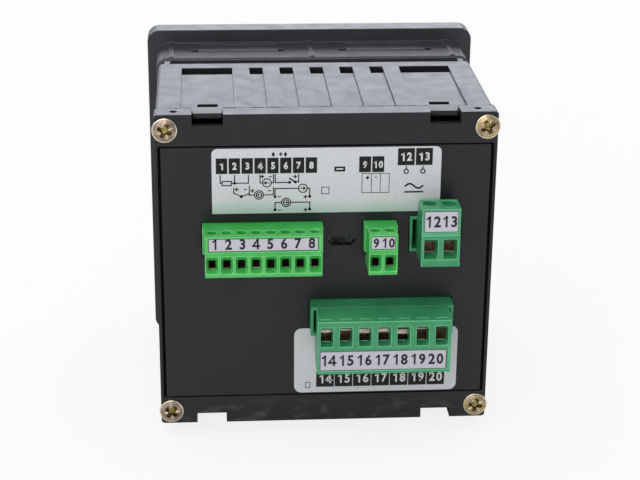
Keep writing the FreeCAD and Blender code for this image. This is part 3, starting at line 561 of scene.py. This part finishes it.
def roundedPatch(x0, x1, y0, y1, corner, steps=4, onlyTop=False):
    piece = bar((x0 + x1) / 2, (y0 + y1) / 2, x1 - x0, y1 - y0)
    applyPlace(piece)
    pick(piece)
    bpy.ops.object.mode_set(mode="EDIT")
    bpy.ops.mesh.select_mode(type="VERT")
    bpy.ops.mesh.select_all(action="DESELECT")
    bpy.ops.object.mode_set(mode="OBJECT")
    middle = (y0 + y1) / 2 * mm
    for point in piece.data.vertices:
        point.select = point.co.y > middle or not onlyTop
    bpy.ops.object.mode_set(mode="EDIT")
    bpy.ops.mesh.bevel(offset=corner * mm, segments=steps, affect="VERTICES")
    leaveEdit()
    return piece


# shares of a digit's height: distance between digits, slimness, thickness of the drawn 1 and 4
digitShape = {"step": 0.72, "slim": 0.88, "stem": 0.1}


def glyph(digit, x, y, height, bold):  # one digit, brought to its height in mm
    bpy.ops.object.text_add(location=(0, 0, 0))
    piece = bpy.context.object
    piece.data.body = digit
    piece.data.size = height * mm
    piece.data.offset = bold * height * mm * 0.5
    piece.data.resolution_u = 4
    bpy.ops.object.convert(target="MESH")
    piece = bpy.context.object
    low = Vector(piece.bound_box[0])
    high = Vector(piece.bound_box[6])
    grow = height * mm / (high.y - low.y)
    slim = grow * digitShape["slim"]
    piece.scale = (slim, grow, 1)
    piece.location = (x * mm - (low.x + high.x) / 2 * slim,
                      y * mm - (low.y + high.y) / 2 * grow, 0)
    return piece


def flaggedOne(middle, y, height, width):
    stem = middle + height * 0.08
    flag = [(stem, y + height * 0.42), (stem - height * 0.22, y + height * 0.25)]
    return [bar(stem, y, width, height)] + stroke(flag, width * 0.85)


def strokedFour(middle, y, height, width):
    stem = middle + height * 0.12
    left = middle - height * 0.29
    foot = y - height * 0.2
    parts = [bar(stem, y, width, height)]
    parts += stroke([(stem + height * 0.14, foot), (left, foot)], width)
    parts += stroke([(left, foot), (stem, y + height * 0.45)], width * 0.9)
    return parts


def number(text, x, y, height, bold):  # digits side by side
    step = height * digitShape["step"]
    width = height * (digitShape["stem"] + bold)
    parts = []
    for place, digit in enumerate(text):
        middle = x + step * (place - (len(text) - 1) / 2)
        if digit == "1":
            parts += flaggedOne(middle, y, height, width)
        elif digit == "4":
            parts += strokedFour(middle, y, height, width)
        else:
            parts.append(glyph(digit, middle, y, height, bold))
    return parts


def arrow(x, y, length, right=True):
    way = 1 if right else -1
    head = length * 0.5
    bpy.ops.mesh.primitive_circle_add(vertices=3, radius=head * mm * 0.8, fill_type="NGON",
                                      location=((x + way * head * 0.5) * mm, y * mm, 0),
                                      rotation=(0, 0, -way * math.pi / 2))
    return [bpy.context.object, bar(x - way * head * 0.4, y, length * 0.7, 0.2)]


def plus(x, y, size=1.0, width=0.3):
    return [bar(x, y, size, width), bar(x, y, width, size)]


def minus(x, y, size=0.85, width=0.26):
    return [bar(x, y, size, width)]


def layFlat(parts, name, onto, layer, thickness, finish, bodyName="housing"):
    piece = joinPieces(parts, name)
    applyPlace(piece)
    editAll(piece)
    bpy.ops.mesh.extrude_region_move(TRANSFORM_OT_translate={"value": (0, 0, thickness * mm)})
    leaveEdit()
    piece.matrix_world = onto
    applyPlace(piece)
    piece.location = (0, layer * mm, 0)
    applyPlace(piece)
    editAll(piece)
    bpy.ops.mesh.normals_make_consistent(inside=False)
    leaveEdit()
    dress(piece, finish, bodyName)
    return piece


labelLayout = {  # left, right, low and high on the sheet
    "upper": (-29.9, 30.0, 17.0, 34.9), "upperCorner": 1.5,
    "lower": (-8.3, 36.25, -35.65, -16.4), "lowerCorner": 2.0,
    "film": 0.1, "ink": 0.02, "line": 0.28, "dot": 0.42, "smallDot": 0.4, "boxCorner": 0.12,
}
film = labelLayout["film"]
ink = labelLayout["ink"]
line = labelLayout["line"]
dot = labelLayout["dot"]
smallDot = labelLayout["smallDot"]
inkLayer = rearFace + film
numberLayer = inkLayer + ink

upperFilm = roundedPatch(*labelLayout["upper"], labelLayout["upperCorner"], 5, True)
layFlat([upperFilm], "upper_label", onRear, rearFace, film, upperPaper)
lowerFilm = roundedPatch(*labelLayout["lower"], labelLayout["lowerCorner"])
layFlat([lowerFilm], "lower_label", onRear, rearFace, film, lowerPaper)


def inkBox(x0, x1, y0, y1):
    return roundedPatch(x0, x1, y0, y1, labelLayout["boxCorner"], 2)


# black boxes: first left edge, distance, width, low and high, and the digits' place and height
signalBoxes = {"left": -28.8, "step": 3.332, "width": 2.96, "low": 28.05, "high": 32.33,
               "digitX": 1.52, "digitY": 30.15, "digit": 2.0}
powerBoxes = {"left": -2.27, "step": 5.063, "width": 4.85, "low": -34.03, "high": -29.4,
              "digitX": 2.5, "digitY": -31.6, "digit": 2.75}


def numberedBoxes(row, first, ways, bold):
    boxes = []
    digits = []
    for way in range(ways):
        left = row["left"] + row["step"] * way
        boxes.append(inkBox(left, left + row["width"], row["low"], row["high"]))
        digits += number(str(first + way), left + row["digitX"], row["digitY"], row["digit"], bold)
    return boxes, digits


def terminalBoxes():
    boxes, digits = numberedBoxes(signalBoxes, 1, 8, 0.09)
    for text, left, right in (("9", 8.47, 11.58), ("10", 11.9, 15.01)):
        boxes.append(inkBox(left, right, 28.02, 32.37))
        digits += number(text, (left + right) / 2, 30.1, 1.95, 0.08)
    for text, left, right in (("12", 18.56, 22.97), ("13", 23.29, 27.7)):
        boxes.append(inkBox(left, right, 29.82, 34.48))
        digits += number(text, (left + right) / 2, 32.15, 2.35, 0.09)
    return boxes, digits


def sensorBridge():  # under terminals 1 to 3
    shapes = stroke([(-27.7, 27.65), (-27.7, 25.48), (-27.2, 25.48)], line)
    shapes += frameOf(-27.2, -24.82, 24.86, 26.0, line)
    shapes += stroke([(-24.82, 25.48), (-20.38, 25.48), (-20.38, 27.6)], line)
    shapes += stroke([(-23.96, 27.65), (-23.96, 25.48)], line)
    shapes.append(disc(-23.96, 25.48, smallDot))
    return shapes


def thermocouple():
    shapes = stroke([(-24.2, 24.2), (-24.2, 22.75), (-22.26, 21.76), (-20.19, 22.54)], line)
    shapes.append(disc(-22.26, 21.76, dot))
    shapes += plus(-23.45, 23.75) + minus(-21.2, 23.75)
    return shapes


def voltageInput():  # between terminals 4 and 5
    shapes = stroke([(-17.35, 27.6), (-17.35, 25.47), (-16.85, 25.47)], line)
    shapes += stroke([(-14.3, 25.45), (-13.85, 25.45), (-13.85, 27.7)], line)
    shapes.append(ring(-15.57, 25.47, 1.27, line))
    shapes += arrow(-15.6, 25.47, 1.5, right=False)
    shapes += plus(-16.75, 27.22) + minus(-14.7, 27.15)
    return shapes


def contactInput():  # between terminals 5 and 7
    shapes = stroke([(-13.4, 27.7), (-13.4, 25.5), (-9.66, 25.53)], line)
    shapes += stroke([(-8.16, 25.6), (-9.6, 26.6)], line * 1.5)
    shapes += stroke([(-8.16, 25.6), (-7.3, 25.6), (-7.3, 27.7)], line)
    shapes += [disc(-9.66, 25.53, smallDot), disc(-8.16, 25.6, smallDot)]
    shapes += plus(-8.2, 27.1)
    return shapes


def currentInput():
    shapes = [ring(-17.64, 22.14, 1.32, line), ring(-17.64, 22.14, 0.85, line)]
    shapes += arrow(-17.64, 22.14, 1.1, right=False)
    shapes += stroke([(-20.1, 24.65), (-20.19, 22.14), (-18.96, 22.14)], line)
    shapes += stroke([(-16.3, 22.14), (-13.85, 22.17), (-13.85, 24.2)], line)
    shapes += plus(-19.35, 23.3) + minus(-14.85, 23.3)
    return shapes


def voltageOutput():
    shapes = stroke([(-13.45, 21.6), (-13.45, 23.83), (-7.44, 23.83)], line)
    shapes.append(ring(-6.17, 23.83, 1.28, line))
    shapes += arrow(-6.17, 23.83, 1.5)
    shapes += stroke([(-4.9, 23.83), (-4.38, 23.83), (-4.38, 21.55)], line)
    shapes += [disc(-13.45, 21.6, dot), disc(-4.38, 21.55, dot)]
    shapes += minus(-12.3, 21.6) + plus(-5.45, 21.46)
    return shapes


def currentOutput():
    shapes = [ring(-10.56, 19.97, 1.31, line), ring(-10.56, 19.97, 0.85, line)]
    shapes += arrow(-10.56, 19.97, 1.1)
    shapes += stroke([(-11.87, 19.97), (-13.45, 19.97), (-13.45, 17.95)], line)
    shapes += stroke([(-9.25, 19.97), (-4.36, 19.97), (-4.36, 17.9)], line)
    shapes += [disc(-13.45, 17.95, dot), disc(-4.36, 18.0, dot)]
    shapes += minus(-12.3, 17.85) + plus(-5.45, 17.85)
    return shapes


def groundAndSupplyPoints():  # over terminals 5 and 6, and the empty tick box
    shapes = []
    for x in (-13.89, -10.72):
        shapes.append(disc(x, 33.25, dot))
        shapes += stroke([(x, 33.85), (x, 32.6)], 0.22)
    shapes += plus(-11.95, 33.3)
    shapes += frameOf(-1.26, 0.66, 22.21, 24.05, 0.2)
    return shapes


def dataTable():
    shapes = frameOf(9.3, 16.45, 22.34, 27.65, 0.17)
    shapes += [bar(11.76, 25.0, 0.17, 5.3), bar(14.09, 25.0, 0.17, 5.3)]
    shapes += plus(10.75, 26.5, 0.95, 0.35) + minus(12.9, 26.6, 0.5)
    return shapes


def currentSign(x, y, width, bold=0.42, steps=12):  # a wave over a straight line
    wave = []
    for step in range(steps + 1):
        turn = 2 * math.pi * step / steps
        wave.append((x + width * (step / steps - 0.5), y + 0.75 + 0.62 * math.sin(turn)))
    below = [(x - width / 2, y - 0.9), (x + width / 2, y - 0.9)]
    return stroke(wave, bold) + stroke(below, bold)


def supplyTerminals():
    shapes = []
    for x in (20.83, 25.22):
        shapes += stroke([(x, 29.4), (x, 28.75)], 0.3)
        shapes.append(ring(x, 28.12, 0.72, 0.32))
    shapes += currentSign(23.0, 23.3, 4.6)
    return shapes


def upperLabelInk():
    shapes, digits = terminalBoxes()
    for drawing in (sensorBridge, thermocouple, voltageInput, contactInput, currentInput,
                    voltageOutput, currentOutput, groundAndSupplyPoints):
        shapes += drawing()
    shapes.append(inkBox(1.99, 4.84, 28.31, 29.69))  # the port's mark
    digits.append(inkBox(2.5, 4.33, 28.85, 29.2))
    shapes += dataTable() + supplyTerminals()
    return shapes, digits


def lowerLabelInk():
    shapes, digits = numberedBoxes(powerBoxes, 14, 7, 0.065)
    shapes += frameOf(-5.2, -3.95, -34.16, -32.6, 0.18)
    return shapes, digits


for label, drawInk in (("upper_label", upperLabelInk), ("lower_label", lowerLabelInk)):
    shapes, digits = drawInk()
    layFlat(shapes, label + "_print", onRear, inkLayer, ink, blackInk)
    layFlat(digits, label + "_numbers", onRear, numberLayer, ink, whiteInk)
print("labels printed")


# marker strips in the plugs' sunk fields

strips = {  # in mm: the strip's X and Z ranges, the sunk field's floor along Y, and the digits
    "plug_1_8": {"x": (2.75, 31.05), "z": (10.6, 14.1), "floor": 81.7, "first": 1, "ways": 8,
                 "startX": 29.45, "stepX": 3.58, "digitZ": 12.6, "digit": 2.95},
    "plug_9_10": {"x": (-17.3, -11.0), "z": (10.5, 14.05), "floor": 81.7, "first": 9, "ways": 2,
                  "startX": -12.3, "stepX": 3.1, "digitZ": 12.25, "digit": 2.6},
    "plug_12_13": {"x": (-33.4, -24.6), "z": (15.2, 20.95), "floor": 82.2, "first": 12, "ways": 2,
                   "startX": -26.85, "stepX": 4.35, "digitZ": 18.1, "digit": 3.1},
    "plug_14_20": {"x": (-31.5, 2.1), "z": (-23.4, -17.85), "floor": 83.0, "first": 14, "ways": 7,
                   "startX": -0.1, "stepX": 4.77, "digitZ": -20.5, "digit": 3.1},
}
# frame: width of a dark line round each strip, painted shade of the gap between strip and field
stripLook = {"thickness": 0.12, "ink": 0.02, "frame": 0.12, "shadeFrameInset": 0.06, "bold": 0.065}
for plugName, strip in strips.items():
    x0, x1 = strip["x"]
    z0, z1 = strip["z"]
    layFlat([inkBox(-x1, -x0, z0, z1)], plugName + "_strip", onRear, strip["floor"],
            stripLook["thickness"], stripPaper, plugName)
    # the thin dark frame drawn round each strip is painted shade of the gap between strip and field
    inset = stripLook["shadeFrameInset"]
    marks = frameOf(-x1 + inset, -x0 - inset, z0 + inset, z1 - inset, stripLook["frame"])
    for way in range(strip["ways"]):
        marks += number(str(strip["first"] + way), strip["stepX"] * way - strip["startX"],
                        strip["digitZ"], strip["digit"], stripLook["bold"])
    layFlat(marks, plugName + "_digits", onRear, strip["floor"] + stripLook["thickness"],
            stripLook["ink"], markerInkAndShade, plugName)
print("marker strips laid")


# marks on the key caps and the unlit digits behind the window

def triangle(x, y, size, up=True):
    bpy.ops.mesh.primitive_circle_add(vertices=3, radius=size * mm, fill_type="NGON",
                                      location=(x * mm, y * mm, 0),
                                      rotation=(0, 0, 0 if up else math.pi))
    return bpy.context.object


def sevenSegments(x, y, width, height, bold):
    parts = []
    reach = width / 2 - bold / 2
    half = height / 2 - bold / 2
    gap = bold * 0.1
    corner = bold * 0.45
    for level in (-half, 0, half):
        parts.append(roundedPatch(x - reach + gap, x + reach - gap,
                                  y + level - bold / 2, y + level + bold / 2, corner, 1))
    for side in (-reach, reach):
        for low, high in ((-half, 0), (0, half)):
            parts.append(roundedPatch(x + side - bold / 2, x + side + bold / 2,
                                      y + low + gap, y + high - gap, corner, 1))
    parts.append(disc(x + width / 2 + bold * 0.6, y - half, bold * 0.5))
    return parts


def keyMark(mark, x, z):
    if mark == "ring":
        return ring(x, z, 1.7, 0.45)
    if mark == "minus":
        return bar(x, z, 3.4, 0.5)
    return triangle(x, z, 1.9, mark == "up")


keyMarks = {"key_4": "ring", "key_3": "minus", "key_2": "down", "key_1": "up"}
for keyName, mark in keyMarks.items():
    keyLow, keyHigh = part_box(keyName)
    x = (keyLow[0] + keyHigh[0]) / 2 / mm
    z = (keyLow[2] + keyHigh[2]) / 2 / mm
    layFlat([keyMark(mark, x, z)], keyName + "_mark", onFront, keyFace + keyDish["depth"], ink,
            keyInk, bodyOf(keyName))

display = {  # face along Y; each row: first digit's X, pitch, Z, width, height, segment width
    "face": -5.3, "depth": 0.05, "digitsInRow": 4,
    "rows": ((-22.5, 15.0, 23.5, 9.5, 17.0, 1.7), (-15.0, 10.0, 4.5, 6.0, 10.5, 1.1)),
    "signalLamps": (31.0, 26.0, 21.0, 16.0),
}
segments = []
for startX, pitch, z, width, height, bold in display["rows"]:
    for place in range(display["digitsInRow"]):
        segments += sevenSegments(startX + pitch * place, z, width, height, bold)
for z in display["signalLamps"]:
    segments.append(roundedPatch(-32.2, -30.0, z - 0.6, z + 0.6, 0.2, 1))
layFlat(segments, "display_segments", onFront, display["face"], display["depth"], unlitSegments,
        bodyOf("display_module"))
print("keys and display marked")


# contact strips behind the clamps, with a tongue into each cage

# in mm: first way's X, distance between ways, back and front along Y, Z ranges, half widths
smallContact = {"step": -3.81, "back": 76.9, "front": 79.9, "plate": (4.1, 10.2),
                "tongue": (7.6, 8.0), "plateHalf": 1.4, "tongueHalf": 0.6, "finish": signalContact}
largeContact = {"step": -5.08, "plateHalf": 2.05, "tongueHalf": 1.0, "finish": powerContact}
contacts = {
    "plug_1_8": dict(smallContact, firstX=30.135, ways=8),
    "plug_9_10": dict(smallContact, firstX=-12.295, ways=2),
    "plug_12_13": dict(largeContact, firstX=-26.46, ways=2, back=75.7, front=79.5,
                       plate=(7.1, 15.4), tongue=(11.75, 12.35)),
    "plug_14_20": dict(largeContact, firstX=0.34, ways=7, back=76.85, front=80.15,
                       plate=(-19.4, -11.3), tongue=(-16.5, -16.0)),
}


def block(x0, x1, y0, y1, z0, z1):
    middle = ((x0 + x1) / 2 * mm, (y0 + y1) / 2 * mm, (z0 + z1) / 2 * mm)
    bpy.ops.mesh.primitive_cube_add(size=1, location=middle)
    piece = bpy.context.object
    piece.scale = ((x1 - x0) * mm, (y1 - y0) * mm, (z1 - z0) * mm)
    return piece


overlap = 0.04  # the strip wraps the source's own tongue by this much
for plugName, contact in contacts.items():
    parts = []
    back = contact["back"]
    tongueLow, tongueHigh = contact["tongue"]
    for way in range(contact["ways"]):
        x = contact["firstX"] + contact["step"] * way
        half = contact["plateHalf"]
        parts.append(block(x - half, x + half, back - 0.02, back + 0.05, *contact["plate"]))
        half = contact["tongueHalf"]
        parts.append(block(x - half - overlap, x + half + overlap, back + 0.03,
                           contact["front"] + 0.01, tongueLow - overlap, tongueHigh + overlap))
    contactStrip = joinPieces(parts, plugName + "_contacts")
    applyPlace(contactStrip)
    softenEdges(contactStrip, 0.02, 1)
    dress(contactStrip, contact["finish"], plugName)
print("contacts placed")


# cover screws: cross recess, four tick marks, rounded yellow-zinc heads

coverScrew = {  # in mm; cuts: length, width, depth and the share kept at the bottom
    "radius": 3.3, "rimHeight": 0.7, "headHeight": 1.5, "sides": 48,
    "shankRadius": 1.4, "shankLength": 15.9, "tipRadius": 0.5, "tipLength": 2.2,
    "domeInset": 0.3, "domeStep": 0.06, "domeRings": 11,
    "cross": (5.3, 1.35, 0.95, 0.62), "centre": (2.7, 2.7, 1.3, 0.6), "tick": (4.9, 0.34, 0.5, 0.9),
    "places": {(41.8, 40.2): 24, (-41.8, 40.2): 64, (41.8, -40.2): 38, (-41.8, -40.2): 12},
}  # places: X and Z, and the turn in degrees


def turnedSolid(name, profile, sides):  # profile of (radius, height) rings from the bottom up
    bpy.ops.mesh.primitive_circle_add(vertices=sides, radius=profile[0][0] * mm, fill_type="NGON",
                                      location=(0, 0, profile[0][1] * mm))
    piece = bpy.context.object
    piece.name = name
    applyPlace(piece)
    editAll(piece)
    for (radius, height), (nextRadius, nextHeight) in zip(profile, profile[1:]):
        rise = (nextHeight - height) * mm
        bpy.ops.mesh.extrude_region_move(TRANSFORM_OT_translate={"value": (0, 0, rise)})
        scale = nextRadius / radius
        bpy.ops.transform.resize(value=(scale, scale, 1))
    bpy.ops.mesh.select_all(action="SELECT")
    bpy.ops.mesh.normals_make_consistent(inside=False)
    leaveEdit()
    return piece


def taperedCutter(cut, top, turn):
    length, width, depth, keep = cut
    above = 1.0
    bpy.ops.mesh.primitive_cube_add(size=1, location=(0, 0, (top - depth / 2 + above / 2) * mm))
    cutter = bpy.context.object
    cutter.scale = (length * mm, width * mm, (depth + above) * mm)
    applyPlace(cutter)
    editFaces(cutter, lambda face: face.normal.z < -0.9)
    bpy.ops.transform.resize(value=(keep, keep, 1))
    leaveEdit()
    cutter.rotation_euler = (0, 0, math.radians(turn))
    applyPlace(cutter)
    return cutter


def cutAway(piece, cutters):
    for cutter in cutters:
        difference = piece.modifiers.new("recess", "BOOLEAN")
        difference.operation = "DIFFERENCE"
        difference.solver = "EXACT"
        difference.object = cutter
        applyModifiers(piece)
        bpy.data.objects.remove(cutter)


def headSurface(radius):  # height of the domed face at a radius
    foot = coverScrew["rimHeight"] + coverScrew["domeStep"]
    domeRadius = coverScrew["radius"] - coverScrew["domeInset"]
    return foot + (coverScrew["headHeight"] - foot) * (1 - (radius / domeRadius) ** 2)


def screwProfile():
    r = coverScrew["radius"]
    low = coverScrew["rimHeight"]
    shank = coverScrew["shankRadius"]
    end = -coverScrew["shankLength"]
    rings = coverScrew["domeRings"]
    profile = [(coverScrew["tipRadius"], end), (shank, end + coverScrew["tipLength"]), (shank, 0.0),
               (r, 0.001), (r, low * 0.7), (r - 0.06, low * 0.95),
               (r - 0.2, low + coverScrew["domeStep"])]
    for step in range(rings):
        radius = (r - coverScrew["domeInset"]) * (1 - step / rings)
        profile.append((radius, headSurface(radius)))
    return profile


def faceSlot(face):  # 0 head, 1 rim and ticks with a painted highlight, 2 recess, 3 its centre
    radius = math.hypot(face.center.x, face.center.y) / mm
    sunk = headSurface(radius) - face.center.z / mm
    around = math.atan2(face.center.y, face.center.x)
    midway = abs(math.sin(2 * around)) > 0.9  # between the cross's arms
    crossDepth = coverScrew["cross"][2]
    if radius > coverScrew["radius"] - 0.32 or (midway and radius > 1.15 and 0.02 < sunk < 0.6):
        return 1
    if crossDepth + 0.02 < sunk < 1.6 and radius < 1.2:
        return 3
    if 0.05 < sunk < 1.6 and radius < coverScrew["radius"] - 0.6:
        return 2
    return 0


def makeCoverScrew():
    head = turnedSolid("coverScrew", screwProfile(), coverScrew["sides"])
    top = coverScrew["headHeight"]
    cutters = [taperedCutter(coverScrew["cross"], top, turn) for turn in (0, 90)]
    cutters.append(taperedCutter(coverScrew["centre"], top, 45))
    cutters += [taperedCutter(coverScrew["tick"], top, turn) for turn in (45, 135)]
    cutAway(head, cutters)
    for finish in (zincYellow, zincRimHighlight, zincRecess, zincCentre):
        head.data.materials.append(finish)
    for face in head.data.polygons:
        face.material_index = faceSlot(face)
    softenEdges(head, 0.04, 1, 40)
    return head


screwPattern = makeCoverScrew()
screws = []
for (x, z), turn in coverScrew["places"].items():
    screw = screwPattern.copy()
    screw.data = screwPattern.data.copy()
    bpy.context.collection.objects.link(screw)
    screw.rotation_euler = (0, 0, math.radians(-turn))
    applyPlace(screw)
    screw.matrix_world = onRear
    applyPlace(screw)
    screw.location = (x * mm, rearFace * mm, z * mm)
    applyPlace(screw)
    screws.append(screw)
bpy.data.objects.remove(screwPattern)
coverScrews = joinPieces(screws, "cover_screws_dressed")
dress(coverScrews, zincYellow, "housing")
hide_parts("cover_screws")
print("cover screws made")


# stage, lights and camera

stage = {"size": 8, "gap": 0.0004, "whiter": 0.84}  # metres; share of white the camera sees


def stageFinish():  # whiter to the camera alone, so the floor gives off no light
    finish, tree, shader = newFinish("paperSweep", 0.9, 0.0, 0.0)
    tone = remap(tree, noiseOf(tree, 60.0), 0.3, 0.7, 0.0, 1.0)
    tree.links.new(blendColours(tree, tone, "#f2f2f2", "#f6f6f6"), shader.inputs["Base Color"])
    glow = tree.nodes.new("ShaderNodeEmission")
    rays = tree.nodes.new("ShaderNodeLightPath")
    seen = calculate(tree, "MULTIPLY", rays.outputs["Is Camera Ray"], stage["whiter"])
    mixed = tree.nodes.new("ShaderNodeMixShader")
    tree.links.new(seen, mixed.inputs["Fac"])
    tree.links.new(shader.outputs["BSDF"], mixed.inputs[1])
    tree.links.new(glow.outputs["Emission"], mixed.inputs[2])
    tree.links.new(mixed.outputs["Shader"], tree.nodes["Material Output"].inputs["Surface"])
    return finish


bpy.ops.mesh.primitive_plane_add(size=stage["size"], location=(0, 0, cadLow.z - stage["gap"]))
sweep = bpy.context.object
sweep.name = "paper_sweep"
sweep.data.materials.append(stageFinish())

lampSetup = {  # place and size in metres, power in watts
    "overhead": ((0.1, 0.15, 0.8), (0.9, 0.8), 2.6),
    "terminalSide": ((0.35, 0.95, 0.5), (0.9, 0.7), 3.6),
    "behind": ((0.0, -0.95, 0.37), (1.9, 0.34), 6.0),
}
lampTints = {"behind": (0.84, 0.9, 1.0)}
for lampName, (place, size, power) in lampSetup.items():
    bpy.ops.object.light_add(type="AREA", location=place)
    lamp = bpy.context.object
    lamp.name = lampName
    lamp.data.shape = "RECTANGLE"
    lamp.data.size, lamp.data.size_y = size
    lamp.data.energy = power
    lamp.data.color = lampTints.get(lampName, (1.0, 1.0, 1.0))
    lamp.rotation_euler = (-Vector(place)).to_track_quat("-Z", "Y").to_euler()

world = bpy.data.worlds.new("softRoom")
bpy.context.scene.world = world
world.use_nodes = True
roomLight = world.node_tree.nodes["Background"]
roomLight.inputs["Color"].default_value = (1, 1, 1, 1)
roomLight.inputs["Strength"].default_value = 0.45
bpy.context.scene.view_settings.view_transform = "Standard"

cameraView = {"place": (30.725, 483.462, 172.656), "yaw": -4.0457, "pitch": -21.577,
              "roll": 0.5397, "lens": 94.52}  # mm and degrees


def addCamera(view):
    yaw = math.radians(view["yaw"])
    pitch = math.radians(view["pitch"])
    roll = math.radians(view["roll"])
    ahead = Vector((math.sin(yaw) * math.cos(pitch), -math.cos(yaw) * math.cos(pitch),
                    math.sin(pitch)))
    side = ahead.cross(Vector((0, 0, 1))).normalized()
    up = side.cross(ahead)
    turnedSide = side * math.cos(roll) + up * math.sin(roll)
    turnedUp = up * math.cos(roll) - side * math.sin(roll)
    bpy.ops.object.camera_add()
    camera = bpy.context.object
    camera.data.lens = view["lens"]
    camera.data.sensor_width = 36
    camera.data.clip_start = 0.01
    camera.matrix_world = Matrix.Translation(Vector(view["place"]) * mm) @ Matrix(
        (turnedSide, turnedUp, -ahead)).transposed().to_4x4()
    bpy.context.scene.camera = camera


addCamera(cameraView)
print("stage, lights and camera set")
